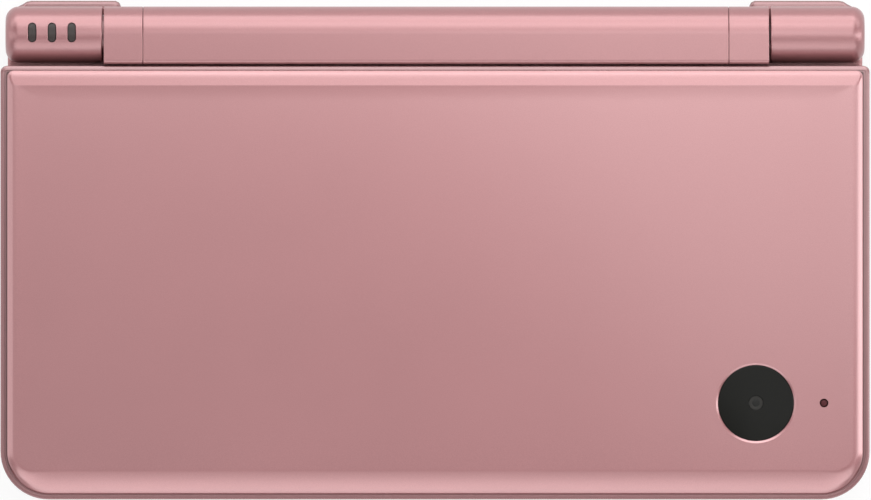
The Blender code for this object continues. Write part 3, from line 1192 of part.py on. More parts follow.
def build_lid_cover(lid_pivot):
    rounding = fillet(COVER_ROUND_WIDTH, COVER_ROUND_DROP, CORNER_STEPS)
    levels = [(0, COVER_LOW_Z)]
    levels += [(inset, CLOSED_HEIGHT - COVER_ROUND_DROP + height) for inset, height in rounding]
    cover = loft([cover_outline(inset) for inset, _ in levels], [level for _, level in levels])
    inner_wall = cover_outline(COVER_WALL)
    inner_roof = cover_outline(COVER_ROUND_WIDTH)
    shoulder = COVER_UNDERSIDE_Z - COVER_ROUND_DROP / 2
    cut(cover, loft([inner_wall, inner_wall, inner_roof],
                    [COVER_LOW_Z - CUT_OVERRUN, shoulder, COVER_UNDERSIDE_Z]))
    through = (COVER_UNDERSIDE_Z - CUT_OVERRUN / 4, CLOSED_HEIGHT + CUT_OVERRUN)
    cut(cover, cylinder((CAMERA_X, CAMERA_Y), CAMERA_WINDOW_RADIUS + CAMERA_WINDOW_GAP, *through, CAMERA_SIDES))
    cut(cover, cylinder((LIGHT_X, CAMERA_Y), LIGHT_RADIUS + LIGHT_GAP, *through, SMALL_SIDES))
    finish(cover, "lid_cover", "rose_metallic", LID_PIVOT, lid_pivot)

    top = CLOSED_HEIGHT - CAMERA_WINDOW_SINK
    window = cylinder((CAMERA_X, CAMERA_Y), CAMERA_WINDOW_RADIUS, top - CAMERA_WINDOW_THICKNESS, top, CAMERA_SIDES)
    finish(window, "outer_camera_window", "black_gloss", LID_PIVOT, lid_pivot)
    barrel_top = top - CAMERA_WINDOW_THICKNESS - FIT_GAP
    shelf = barrel_top - CAMERA_BARREL_HEIGHT
    half = CAMERA_MODULE_SIDE / 2
    module = box((CAMERA_X - half, CAMERA_X + half), (CAMERA_Y - half, CAMERA_Y + half),
                 (shelf - CAMERA_MODULE_HEIGHT, shelf))
    join(module, cylinder((CAMERA_X, CAMERA_Y), CAMERA_BARREL_RADIUS, shelf - CAMERA_MODULE_HEIGHT / 2, barrel_top,
                          ROUND_SIDES))
    finish(module, "outer_camera_module", "black_plastic", LID_PIVOT, lid_pivot)
    foot_top = COVER_UNDERSIDE_Z - FIT_GAP
    profile = [(foot_top - LIGHT_FOOT_HEIGHT, LIGHT_FOOT_RADIUS), (foot_top, LIGHT_FOOT_RADIUS),
               (foot_top, LIGHT_RADIUS), (CLOSED_HEIGHT - CAMERA_WINDOW_SINK, LIGHT_RADIUS)]
    light = turned((LIGHT_X, CAMERA_Y), profile, SMALL_SIDES)
    finish(light, "camera_light_pipe", "smoked_clear", LID_PIVOT, lid_pivot)


def main():
    clear_scene()
    lid_pivot = pivot("lid_pivot", LID_PIVOT)
    build_bottom_case()
    build_top_case()
    build_battery_parts()
    for number, place in enumerate(case_screw_places(), start=1):
        build_screw(f"case_screw_{number}", place, SCREW_SHANK_LENGTH)
    for number, place in enumerate(cover_screw_places(), start=1):
        build_screw(f"battery_cover_screw_{number}", place, COVER_SCREW_SHANK_LENGTH)
    build_feet()
    build_board()
    build_sockets()
    build_direction_pad()
    build_buttons()
    build_shoulder(1, "right_shoulder_button")
    build_shoulder(-1, "left_shoulder_button")
    build_volume_rocker()
    build_card_cover()
    build_stylus()
    build_barrel_housings()
    build_status_light_pipe()
    build_screens(lid_pivot)
    build_lid_barrel(lid_pivot)
    build_inner_camera(lid_pivot)
    build_lid_frame(lid_pivot)
    build_speakers(lid_pivot)
    build_lid_cover(lid_pivot)


main()
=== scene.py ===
import math
from functools import partial

import bmesh
import bpy
from mathutils import Matrix, Vector


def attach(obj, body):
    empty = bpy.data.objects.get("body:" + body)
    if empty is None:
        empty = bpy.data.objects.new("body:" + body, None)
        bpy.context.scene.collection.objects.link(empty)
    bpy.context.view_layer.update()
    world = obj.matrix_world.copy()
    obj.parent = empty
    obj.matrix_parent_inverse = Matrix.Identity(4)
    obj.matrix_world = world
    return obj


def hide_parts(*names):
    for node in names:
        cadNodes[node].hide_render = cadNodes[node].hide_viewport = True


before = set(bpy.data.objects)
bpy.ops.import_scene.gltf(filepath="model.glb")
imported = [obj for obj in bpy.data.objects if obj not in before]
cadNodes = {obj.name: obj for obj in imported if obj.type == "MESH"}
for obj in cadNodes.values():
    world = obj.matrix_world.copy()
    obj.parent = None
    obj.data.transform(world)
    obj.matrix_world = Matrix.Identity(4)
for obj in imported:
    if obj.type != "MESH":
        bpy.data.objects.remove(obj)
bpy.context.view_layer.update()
print("frame loaded:", len(cadNodes), "nodes")

# Shapes are drawn in millimetres and brought to metres when a piece is finished.
metresPerMillimetre = 0.001
fit = 0.3  # gap between fitted pieces
overrun = 4.0  # how far a cutter runs on into the open
beyond = 1.0  # the same where another piece is near
mergeDistance = 0.0005

console = {
    "halfWidth": 80.5, "front": -46.25, "lidRear": 34.1, "height": 21.2, "frontCorner": 9.0, "rearCorner": 1.2,
    "leastCorner": 0.4,
}
hinge = {"y": 39.9, "z": 15.4, "radius": 5.2}
hingeAxis = (hinge["y"], hinge["z"])
screen = {
    "width": 90.0, "depth": 68.0, "corner": 1.5, "lip": 0.25, "y": (console["front"] + console["lidRear"]) / 2,
}
deckEdge = 77.5
margin = (screen["width"] / 2 + deckEdge) / 2  # centre of each side margin, where the controls and speakers sit


# outlines

def arcPoints(centre, radius, start, stop, steps):
    turns = [math.radians(start + (stop - start) * i / steps) for i in range(steps + 1)]
    return [(centre[0] + radius * math.cos(a), centre[1] + radius * math.sin(a)) for a in turns]


def planOutline(left, right, front, rear, frontRadius, rearRadius, frontSteps=14, rearSteps=5):
    points = arcPoints((right - rearRadius, rear - rearRadius), rearRadius, 0, 90, rearSteps)
    points += arcPoints((left + rearRadius, rear - rearRadius), rearRadius, 90, 180, rearSteps)
    points += arcPoints((left + frontRadius, front + frontRadius), frontRadius, 180, 270, frontSteps)
    return points + arcPoints((right - frontRadius, front + frontRadius), frontRadius, 270, 360, frontSteps)


def evenOutline(half, front, rear, frontRadius, rearRadius, frontSteps=14, rearSteps=5):
    # the same on both sides, with no corner sharper than the least one
    least = console["leastCorner"]
    return planOutline(-half, half, front, rear, max(frontRadius, least), max(rearRadius, least), frontSteps,
                       rearSteps)


def casingOutline(inset, half, front):
    return evenOutline(half - inset, front + inset, console["lidRear"] - inset, console["frontCorner"] - inset,
                       console["rearCorner"] - inset)


def rectangle(centre, width, depth, radius, steps=5):
    x, y = centre
    return planOutline(x - width / 2, x + width / 2, y - depth / 2, y + depth / 2, radius, radius, steps, steps)


def circle(centre, radius, sides=48):
    turns = [2 * math.pi * (i + 0.5) / sides for i in range(sides)]
    return [(centre[0] + radius * math.cos(a), centre[1] + radius * math.sin(a)) for a in turns]


def pill(centre, width, length, steps=8):
    x, y = centre
    reach = (length - width) / 2
    points = arcPoints((x, y + reach), width / 2, 0, 180, steps)
    return points + arcPoints((x, y - reach), width / 2, 180, 360, steps)


def quarterTurn(steps=6):
    return [math.radians(90 * i / steps) for i in range(steps + 1)]


# solids

def toWorld(point, level, axis):
    u, v = point
    return {"Z": (u, v, level), "X": (level, u, v), "Y": (u, level, v)}[axis]


def linked(data, name):
    piece = bpy.data.objects.new(name, data)
    bpy.context.scene.collection.objects.link(piece)
    return piece


def loft(sections, axis="Z"):
    # a solid through (outline, level) pairs
    shape = bmesh.new()
    rings = [[shape.verts.new(toWorld(point, level, axis)) for point in outline] for outline, level in sections]
    count = len(rings[0])
    for low, high in zip(rings, rings[1:]):
        for i in range(count):
            after = (i + 1) % count
            shape.faces.new((low[i], low[after], high[after], high[i]))
    shape.faces.new(rings[0][::-1])
    shape.faces.new(rings[-1])
    bmesh.ops.recalc_face_normals(shape, faces=shape.faces)
    mesh = bpy.data.meshes.new("shape")
    shape.to_mesh(mesh)
    shape.free()
    return linked(mesh, "shape")


def prism(outline, low, high, axis="Z"):
    return loft([(outline, low), (outline, high)], axis)


def rod(place, radius, low, high, sides=48, axis="Z"):
    return prism(circle(place, radius, sides), low, high, axis)


def box(xSpan, ySpan, zSpan):
    (left, right), (front, rear) = xSpan, ySpan
    return prism([(left, front), (right, front), (right, rear), (left, rear)], *zSpan)


def rounded(outlineAt, low, high, lowRound=0.0, highRound=0.0, axis="Z", steps=5, flare=False):
    # a solid with rounded ends, or with flare a cutter that leaves a rounded lip at either mouth
    sign = -1 if flare else 1
    rings, ends = [(0, low)], [(0, high)]
    if lowRound:
        rings = [(-lowRound, low - overrun)] if flare else []
        rings += [(sign * lowRound * (1 - math.sin(a)), low + lowRound * (1 - math.cos(a)))
                  for a in quarterTurn(steps)]
    if highRound:
        ends = [(sign * highRound * (1 - math.cos(a)), high - highRound * (1 - math.sin(a)))
                for a in quarterTurn(steps)]
        ends += [(-highRound, high + overrun)] if flare else []
    return loft([(outlineAt(inset), level) for inset, level in rings + ends], axis)


flared = partial(rounded, steps=4, flare=True)


def disc(place, radius, *levels, sides=48, shaper=rounded, **rounds):
    return shaper(lambda inset: circle(place, radius - inset, sides), *levels, **rounds)


hole = partial(disc, shaper=flared)


def opening(centre, width, height, corner, *levels, shaper=flared, **rounds):
    return shaper(lambda inset: rectangle(centre, width - 2 * inset, height - 2 * inset, corner), *levels, **rounds)


def slot(centre, width, length, steps, *levels, **rounds):
    return flared(lambda inset: pill(centre, width - 2 * inset, length - 2 * inset, steps), *levels, **rounds)


def turned(centre, profile, sides=48, axis="Z"):
    # a solid through circles at (level, radius) pairs
    return loft([(circle(centre, radius, sides), level) for level, radius in profile], axis)


def domeProfile(level, height, radius):
    # (level, radius) pairs of a low dome that ends in a small flat
    least = 0.06
    return [(level + height * math.sin(a), radius * max(math.cos(a), least)) for a in quarterTurn()]


def applied(piece):
    bpy.context.view_layer.update()
    graph = bpy.context.evaluated_depsgraph_get()
    mesh = bpy.data.meshes.new_from_object(piece.evaluated_get(graph))
    piece.modifiers.clear()
    piece.data = mesh
    return piece


def combine(operation, piece, *tools):
    for tool in tools:
        modifier = piece.modifiers.new(operation.lower(), "BOOLEAN")
        modifier.operation = operation
        modifier.object = tool
        applied(piece)
        bpy.data.objects.remove(tool)
    return piece


cut = partial(combine, "DIFFERENCE")
join = partial(combine, "UNION")


def welded(piece):
    # vertices nearly in one place become one, so that the mesh is closed and has no slivers
    shape = bmesh.new()
    shape.from_mesh(piece.data)
    bmesh.ops.remove_doubles(shape, verts=shape.verts, dist=mergeDistance)
    bmesh.ops.recalc_face_normals(shape, faces=shape.faces)
    shape.to_mesh(piece.data)
    shape.free()
    return piece


def finished(piece, name, material, body, replaces=(), sharpAngle=32):
    piece.name = name
    piece.data.shade_smooth()
    piece.data.set_sharp_from_angle(angle=math.radians(sharpAngle))
    weighted = piece.modifiers.new("weighted", "WEIGHTED_NORMAL")
    weighted.keep_sharp = True
    applied(piece)
    piece.data.transform(Matrix.Scale(metresPerMillimetre, 4))
    piece.data.name = name
    piece.data.materials.clear()
    piece.data.materials.append(material)
    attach(piece, body)
    if replaces:
        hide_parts(*replaces)
    return piece


# materials

def fill(tree, socket, value):
    # an input takes a value, or the output that it is linked to
    if isinstance(value, bpy.types.NodeSocket):
        tree.links.new(value, socket)
    else:
        socket.default_value = value


def feed(tree, node, **sockets):
    for label, value in sockets.items():
        fill(tree, node.inputs[label.replace("_", " ")], value)


def addNode(tree, kind, **settings):
    # a setting is an attribute of the node or one of its inputs
    node = tree.nodes.new(kind)
    for key, value in settings.items():
        if hasattr(node, key):
            setattr(node, key, value)
        else:
            feed(tree, node, **{key: value})
    return node


def mathOf(tree, operation, first, second=0.0):
    node = addNode(tree, "ShaderNodeMath", operation=operation)
    for socket, value in zip(node.inputs, (first, second)):
        fill(tree, socket, value)
    return node.outputs[0]


def newMaterial(name, colour, metallic, roughness, **sockets):
    material = bpy.data.materials.new(name)
    material.use_nodes = True
    tree = material.node_tree
    shader = tree.nodes["Principled BSDF"]
    feed(tree, shader, Base_Color=(*colour, 1), Metallic=metallic, Roughness=roughness, **sockets)
    return material, tree, shader, addNode(tree, "ShaderNodeTexCoord").outputs["Object"]


def noiseOf(tree, coords, scale, detail=2.0, roughness=0.5):
    node = addNode(tree, "ShaderNodeTexNoise", Scale=scale, Detail=detail, Roughness=roughness, Vector=coords)
    return node.outputs["Fac"]


def ranged(tree, value, low, high, fromLow=0.3, fromHigh=0.7):
    node = addNode(tree, "ShaderNodeMapRange", From_Min=fromLow, From_Max=fromHigh, To_Min=low, To_Max=high,
                   Value=value)
    return node.outputs["Result"]


def roughened(tree, shader, value, low, high):
    feed(tree, shader, Roughness=ranged(tree, value, low, high))


def tinted(tree, shader, factor, dark, light):
    # the base colour runs between two colours by a factor
    mix = addNode(tree, "ShaderNodeMix", data_type="RGBA", A=(*dark, 1), B=(*light, 1), Factor=factor)
    feed(tree, shader, Base_Color=mix.outputs["Result"])


def shade(colour, factor):
    return tuple(channel * factor for channel in colour)


def varied(tree, shader, colour, value, low, high):
    # the base colour runs between two shades of one colour by a noise
    tinted(tree, shader, ranged(tree, value, 0, 1), shade(colour, low), shade(colour, high))


def bumped(tree, shader, height, strength, distance):
    bump = addNode(tree, "ShaderNodeBump", Strength=strength, Distance=distance, Height=height)
    feed(tree, shader, Normal=bump.outputs["Normal"])


paint = {
    "colour": (0.372, 0.158, 0.165), "metallic": 0.6, "gloss": 0.0, "coatIor": 2.0, "flakeScale": 7000.0,
    "flakeBump": 0.12, "flakeDepth": 0.00002, "cloudScale": 45.0,
}


def metallicPaint(name, colour, roughness, coat, coatRoughness):
    # fine flake under a satin clear coat
    material, tree, shader, coords = newMaterial(
        name, colour, paint["metallic"], roughness, Specular_IOR_Level=paint["gloss"], Coat_Weight=coat,
        Coat_Roughness=coatRoughness, Coat_IOR=paint["coatIor"],
    )
    flake = noiseOf(tree, coords, paint["flakeScale"], 1.0)
    varied(tree, shader, colour, flake, 0.94, 1.06)
    cloud = noiseOf(tree, coords, paint["cloudScale"], 3.0)
    roughened(tree, shader, cloud, roughness - 0.02, roughness + 0.02)
    bumped(tree, shader, flake, paint["flakeBump"], paint["flakeDepth"])
    return material


def grainedPlastic(name, colour, roughness, grainScale, grainDepth, metallic=0.0):
    # moulded plastic with a fine spark-eroded grain
    material, tree, shader, coords = newMaterial(name, colour, metallic, roughness)
    grain = noiseOf(tree, coords, grainScale, 3.0, 0.6)
    blotch = noiseOf(tree, coords, 60.0, 3.0)
    varied(tree, shader, colour, blotch, 0.96, 1.04)
    roughened(tree, shader, grain, roughness - 0.05, roughness + 0.05)
    bumped(tree, shader, grain, 0.35, grainDepth)
    return material


def polishedPlastic(name, colour, roughness, coat=0.0, gloss=0.5):
    # smooth plastic whose gloss is dulled here and there by handling
    material, tree, shader, coords = newMaterial(name, colour, 0.0, roughness, Coat_Weight=coat, Coat_Roughness=0.05,
                                                 Specular_IOR_Level=gloss)
    roughened(tree, shader, noiseOf(tree, coords, 90.0, 4.0), roughness * 0.8, roughness * 1.5)
    varied(tree, shader, colour, noiseOf(tree, coords, 30.0), 0.97, 1.03)
    return material


def brushedMetal(name, colour, roughness):
    # grain drawn out along X
    material, tree, shader, coords = newMaterial(name, colour, 1.0, roughness)
    mapping = addNode(tree, "ShaderNodeMapping", Scale=(200, 9000, 9000), Vector=coords)
    grain = noiseOf(tree, mapping.outputs["Vector"], 1.0)
    roughened(tree, shader, grain, roughness * 0.8, roughness * 1.3)
    varied(tree, shader, colour, grain, 0.92, 1.05)
    bumped(tree, shader, grain, 0.1, 0.00001)
    return material


def boardMaterial():
    # green solder mask with darker copper lanes below it
    material, tree, shader, coords = newMaterial("boardGreen", (0.02, 0.12, 0.06), 0.0, 0.42)
    lanes = addNode(tree, "ShaderNodeTexBrick", Scale=260.0, Color1=(0.018, 0.11, 0.055, 1),
                    Color2=(0.024, 0.14, 0.07, 1), Mortar=(0.012, 0.07, 0.035, 1), Vector=coords)
    feed(tree, shader, Base_Color=lanes.outputs["Color"])
    bumped(tree, shader, lanes.outputs["Fac"], 0.2, 0.00003)
    return material


def cableMaterial():
    # amber film with fine copper tracks along the cable
    material, tree, shader, coords = newMaterial("cableAmber", (0.4, 0.19, 0.05), 0.0, 0.35)
    tracks = addNode(tree, "ShaderNodeTexWave", bands_direction="Y", Scale=900.0, Distortion=0.0, Vector=coords)
    tinted(tree, shader, tracks.outputs["Fac"], (0.32, 0.14, 0.035), (0.5, 0.26, 0.08))
    bumped(tree, shader, tracks.outputs["Fac"], 0.2, 0.00002)
    return material


def meshCloth(name):
    # woven dust mesh over a speaker
    material, tree, shader, coords = newMaterial(name, (0.02, 0.02, 0.02), 0.0, 0.6)
    cells = addNode(tree, "ShaderNodeTexVoronoi", Scale=2600.0, Randomness=0.0, Vector=coords).outputs["Distance"]
    tinted(tree, shader, ranged(tree, cells, 0, 1, 0.1, 0.5), (0.008, 0.008, 0.008), (0.05, 0.05, 0.05))
    bumped(tree, shader, cells, 0.8, 0.0001)
    return material


display = {"halfWidth": 42.0, "halfDepth": 31.5}


def screenGlass(name):
    # black border printed under the glass, with the dark display area inside it
    material, tree, shader, coords = newMaterial(name, (0.006, 0.006, 0.007), 0.0, 0.07, Coat_Weight=0.5,
                                                 Coat_Roughness=0.04)
    calc = partial(mathOf, tree)
    split = addNode(tree, "ShaderNodeSeparateXYZ", Vector=coords)
    rearward = calc("SUBTRACT", split.outputs["Y"], screen["y"] * metresPerMillimetre)
    across = calc("LESS_THAN", calc("ABSOLUTE", split.outputs["X"]), display["halfWidth"] * metresPerMillimetre)
    along = calc("LESS_THAN", calc("ABSOLUTE", rearward), display["halfDepth"] * metresPerMillimetre)
    tinted(tree, shader, calc("MULTIPLY", across, along), (0.0045, 0.0045, 0.005), (0.02, 0.021, 0.023))
    roughened(tree, shader, noiseOf(tree, coords, 60.0, 4.0), 0.05, 0.11)
    return material


rose = paint["colour"]
lidPaint = metallicPaint("rosePaint", rose, 0.35, 0.85, 0.22)
# the lid paint darkened to 0.87: painted shade on the hinge barrels
shadedBarrelPaint = metallicPaint("roseBarrelPaint", shade(rose, 0.87), 0.38, 0.6, 0.28)
# a darker copy of the lid paint: painted shade that darkens the lid frame's narrow band round the cover; the shoulder
# caps take the same copy
shadedRosePaint = metallicPaint("roseSatin", shade(rose, 0.66), 0.36, 0.8, 0.22)
caseSatin = grainedPlastic("roseCase", (0.43, 0.213, 0.216), 0.5, 4200.0, 0.00003, 0.3)
buttonRose = polishedPlastic("roseButton", (0.46, 0.23, 0.235), 0.28, 0.3)
rubberGrey = grainedPlastic("greyRubber", (0.12, 0.105, 0.105), 0.8, 2600.0, 0.00006)
smokedWindow = polishedPlastic("smokedWindow", (0.036, 0.028, 0.026), 0.25, 0.0, 0.3)
indicatorGlass = polishedPlastic("roseSmoke", (0.06, 0.012, 0.015), 0.35, 0.0, 0.2)
blackGlass = polishedPlastic("blackGlass", (0.0045, 0.0045, 0.0035), 0.08, 0.0, 0.17)
lensGrey = polishedPlastic("lensGrey", (0.021, 0.02, 0.018), 0.5, 0.0, 0.2)
lensGlass = polishedPlastic("lensGlass", (0.011, 0.011, 0.01), 0.4, 0.0, 0.2)
blackPlastic = grainedPlastic("blackPlastic", (0.02, 0.02, 0.02), 0.5, 3000.0, 0.00004)
steel = brushedMetal("brushedSteel", (0.52, 0.52, 0.53), 0.3)
darkSteel = brushedMetal("oiledSteel", (0.07, 0.065, 0.065), 0.4)
gold = brushedMetal("contactGold", (0.75, 0.52, 0.2), 0.28)
panelFrame = brushedMetal("panelFrame", (0.42, 0.42, 0.43), 0.35)
batteryWrap = polishedPlastic("batteryWrap", (0.26, 0.26, 0.27), 0.4)
boardGreen = boardMaterial()
cableAmber = cableMaterial()
dustMesh = meshCloth("dustMesh")
displayGlass = screenGlass("screenGlass")
print("materials made")


# geometry node trees

def newTree(name, **inputs):
    # a tree whose named inputs are given by value, or by kind where they have none
    tree = bpy.data.node_groups.new(name, "GeometryNodeTree")
    for way in ("INPUT", "OUTPUT"):
        tree.interface.new_socket("Geometry", in_out=way, socket_type="NodeSocketGeometry")
    kinds = {float: "Float", int: "Int", tuple: "Vector"}
    for label, value in {**inputs, "Material": "Material"}.items():
        kind = value if isinstance(value, str) else kinds[type(value)]
        socket = tree.interface.new_socket(label.replace("_", " "), in_out="INPUT", socket_type="NodeSocket" + kind)
        if kind != value:
            socket.default_value = value
    given = tree.nodes.new("NodeGroupInput").outputs
    return tree, given, partial(addNode, tree), partial(mathOf, tree)


def endTree(tree, given, geometry):
    # every tree ends in Realize Instances and Set Material
    realize = addNode(tree, "GeometryNodeRealizeInstances", Geometry=geometry)
    coloured = addNode(tree, "GeometryNodeSetMaterial", Geometry=realize.outputs[0], Material=given["Material"])
    feed(tree, tree.nodes.new("NodeGroupOutput"), Geometry=coloured.outputs[0])
    return tree


def onPoints(tree, given, shape, points=None):
    points = given["Geometry"] if points is None else points
    instances = addNode(tree, "GeometryNodeInstanceOnPoints", Points=points, Instance=shape)
    return endTree(tree, given, instances.outputs[0])


def runTree(tree, points, **values):
    # runs a tree on a mesh of loose points and returns the result as a plain mesh object
    mesh = bpy.data.meshes.new("points")
    mesh.from_pydata([Vector(point) for point in points], [], [])
    piece = linked(mesh, tree.name)
    modifier = piece.modifiers.new(tree.name, "NODES")
    modifier.node_group = tree
    for item in tree.interface.items_tree:
        key = item.name.replace(" ", "_")
        if item.in_out == "INPUT" and key in values:
            modifier[item.identifier] = values[key]
    return applied(piece)


def padTree():
    # a round pad with a chamfered lower rim on every point
    tree, given, node, calc = newTree("roundPads", Radius=3.0, Height=1.0, Rim=0.3)
    straight = calc("SUBTRACT", given["Height"], given["Rim"])
    pad = node("GeometryNodeMeshCylinder", Vertices=48, Radius=given["Radius"], Depth=straight)
    offset = node("ShaderNodeCombineXYZ", Z=calc("ADD", calc("MULTIPLY", straight, 0.5), given["Rim"]))
    lift = node("GeometryNodeTransform", Geometry=pad.outputs["Mesh"], Translation=offset.outputs[0])
    geometry, selection = lift.outputs[0], pad.outputs["Bottom"]
    # the rim goes down in two steps, each face drawn in as it goes
    for drop, narrow in ((0.55, 0.22), (0.45, 0.78)):
        extrude = node("GeometryNodeExtrudeMesh", Mesh=geometry, Selection=selection,
                       Offset_Scale=calc("MULTIPLY", given["Rim"], drop))
        share = calc("DIVIDE", calc("MULTIPLY", given["Rim"], narrow), given["Radius"])
        shrink = node("GeometryNodeScaleElements", Geometry=extrude.outputs["Mesh"],
                      Selection=extrude.outputs["Top"], Scale=calc("SUBTRACT", 1.0, share))
        geometry, selection = shrink.outputs[0], extrude.outputs["Top"]
    return onPoints(tree, given, geometry)


def screwTree():
    # a screw head, seen from below, with a cross recess, on every point
    tree, given, node, calc = newTree(
        "screwHeads", Head_radius=1.7, Head_height=0.48, Recess_width=0.42, Recess_length=1.9, Recess_depth=0.3,
        Shank_radius=0.8, Shank_length=2.0,
    )
    head = node("GeometryNodeMeshCylinder", Vertices=36, Radius=given["Head radius"], Depth=given["Head height"])
    crown = node("GeometryNodeExtrudeMesh", Mesh=head.outputs["Mesh"], Selection=head.outputs["Bottom"],
                 Offset_Scale=0.12)
    dome = node("GeometryNodeScaleElements", Geometry=crown.outputs["Mesh"], Selection=crown.outputs["Top"],
                Scale=0.86)
    shank = node("GeometryNodeMeshCylinder", Vertices=24, Radius=given["Shank radius"], Depth=given["Shank length"])
    lift = node("ShaderNodeCombineXYZ", Z=calc("MULTIPLY", given["Shank length"], 0.5))
    raised = node("GeometryNodeTransform", Geometry=shank.outputs["Mesh"], Translation=lift.outputs[0])
    union = node("GeometryNodeMeshBoolean", operation="UNION", Mesh_2=dome.outputs[0])
    feed(tree, union, Mesh_2=raised.outputs[0])
    shape = union.outputs["Mesh"]
    floor = calc("ADD", calc("MULTIPLY", given["Head height"], -0.5), given["Recess depth"])
    # the second bar goes a little less deep, so that the two floors don't lie in one plane
    for along, across, level in (("X", "Y", -1.12), ("Y", "X", -1.15)):
        spans = {along: given["Recess length"], across: given["Recess width"]}
        bar = node("GeometryNodeMeshCube", Size=node("ShaderNodeCombineXYZ", Z=2.0, **spans).outputs[0])
        place = node("ShaderNodeCombineXYZ", Z=calc("ADD", floor, level))
        drop = node("GeometryNodeTransform", Geometry=bar.outputs["Mesh"], Translation=place.outputs[0])
        recess = node("GeometryNodeMeshBoolean", operation="DIFFERENCE", Mesh_1=shape, Mesh_2=drop.outputs[0])
        shape = recess.outputs["Mesh"]
    return onPoints(tree, given, shape)


def barRowTree():
    # a row of small bars: contacts, and cutters for grip grooves
    tree, given, node, _ = newTree("barRow", Count=5, Start=(0, 0, 0), Step=(1, 0, 0), Bar_size=(0.5, 2, 0.3))
    line = node("GeometryNodeMeshLine", Count=given["Count"], Start_Location=given["Start"], Offset=given["Step"])
    bar = node("GeometryNodeMeshCube", Size=given["Bar size"])
    return onPoints(tree, given, bar.outputs["Mesh"], line.outputs["Mesh"])


def barrelTree():
    # a section swept along X, drawn in at each end by a rounding of its own
    tree, given, node, calc = newTree(
        "barrelSweep", Section="Object", Start=0.0, End=10.0, Start_rounding=0.3, End_rounding=0.3, Start_draw=0.3,
        End_draw=0.3, Steps=8, Radius=5.2,
    )
    section = node("GeometryNodeObjectInfo", transform_space="ORIGINAL", Object=given["Section"])
    steps = given["Steps"]
    count = calc("ADD", calc("MULTIPLY", steps, 2.0), 2.0)
    line = node("GeometryNodeMeshLine", Count=count)
    path = node("GeometryNodeMeshToCurve", Mesh=line.outputs["Mesh"])
    index = node("GeometryNodeInputIndex").outputs[0]
    fromEnd = calc("SUBTRACT", calc("SUBTRACT", count, 1.0), index)

    def roundingAt(distance, rounding, draw):
        # how far a point is moved along and drawn in, by how far round the quarter arc it lies from its end
        turn = calc("MULTIPLY", calc("MINIMUM", calc("DIVIDE", distance, steps), 1.0), math.pi / 2)
        along = calc("MULTIPLY", rounding, calc("SUBTRACT", 1.0, calc("COSINE", turn)))
        return along, calc("MULTIPLY", draw, calc("SUBTRACT", 1.0, calc("SINE", turn)))

    startMove, startDraw = roundingAt(index, given["Start rounding"], given["Start draw"])
    endMove, endDraw = roundingAt(fromEnd, given["End rounding"], given["End draw"])
    places = {"True": calc("ADD", given["Start"], startMove), "False": calc("SUBTRACT", given["End"], endMove)}
    inFirst = calc("LESS_THAN", index, calc("ADD", steps, 0.5))
    pickX = node("GeometryNodeSwitch", input_type="FLOAT", Switch=inFirst, **places)
    place = node("ShaderNodeCombineXYZ", X=pickX.outputs[0])
    moved = node("GeometryNodeSetPosition", Geometry=path.outputs["Curve"], Position=place.outputs[0])
    scale = calc("SUBTRACT", 1.0, calc("DIVIDE", calc("ADD", startDraw, endDraw), given["Radius"]))
    sized = node("GeometryNodeSetCurveRadius", Curve=moved.outputs[0], Radius=scale)
    sweep = node("GeometryNodeCurveToMesh", Curve=sized.outputs[0], Profile_Curve=section.outputs["Geometry"],
                 Scale=scale, Fill_Caps=True)
    return endTree(tree, given, sweep.outputs[0])


roundPads = padTree()
screwHeads = screwTree()
barRow = barRowTree()
barrelSweep = barrelTree()
print("geometry node trees made")

# lid cover

cover = {
    "halfWidth": 79.25, "front": -45.25, "rear": 33.2, "low": 18.6, "corner": 7.8, "cornerSteps": 18,
    "footRound": 0.2, "topThickness": 1.1, "wall": 1.3, "innerBevel": 3.2, "innerDrop": 0.9,
    "dip": 0.075, "dipWidths": (5.0, 2.8, 24.0), "dipSteps": 6, "bevelSteps": 12,
    # (distance in from the edge, tilt in degrees) of each edge's bevel, from the flat top outwards
    "sideBevel": [(1.9, 1.5), (1.25, 4), (1.0, 14), (0.7, 24), (0.45, 32), (0.2, 44), (0.0, 60)],
    "rearBevel": [(2.75, 11), (1.25, 12), (0.7, 18), (0.35, 28), (0.12, 38), (0.0, 48)],
    "frontBevel": [(4.5, 4), (4.1, 9), (3.3, 11.5), (1.9, 19), (0.5, 27), (0.1, 36), (0.0, 55)],
    "drops": [0.0, 0.008, 0.025, 0.05, 0.085, 0.13, 0.18, 0.24, 0.31, 0.38, 0.46, 0.55, 0.64, 0.74, 0.86, 1.0, 1.16,
              1.34, 1.55],
}
camera = {
    "x": 59.4, "y": -28.35, "radius": 6.98, "holeRadius": 7.03, "top": 21.11, "thickness": 0.9, "lowRound": 0.05,
    "highRound": 0.14, "lensRadius": 1.36, "lensDepth": 0.35, "lensLip": 0.06,
    # (level from the cover's top, widening) pairs of the cover's hole
    "mouth": [(-0.24, 0.0), (-0.21, 0.03), (-0.03, 0.42), (1.0, 1.22)],
    # (level from the window's top, radius) pairs of the lens ring
    "ring": [(-0.34, 1.32), (-0.16, 1.32), (-0.12, 1.26), (-0.13, 0.82), (-0.2, 0.72), (-0.21, 0.576)],
    "pupilRadius": 0.7, "pupilLow": 0.23, "pupilEdge": 0.19, "pupilHeight": 0.05,
}
# the light pipe's flange, and (level from the window's top, radius) pairs of its end
indicator = {"x": 72.0, "holeRadius": 0.8, "flange": 1.6, "flangeDepth": 1.5, "radius": 0.6,
             "end": [(-0.15, 0.6), (-0.06, 0.54), (-0.02, 0.3), (0.0, 0.08)]}
cameraPlace = (camera["x"], camera["y"])
indicatorPlace = (indicator["x"], camera["y"])
coverRoof = console["height"] - cover["topThickness"]


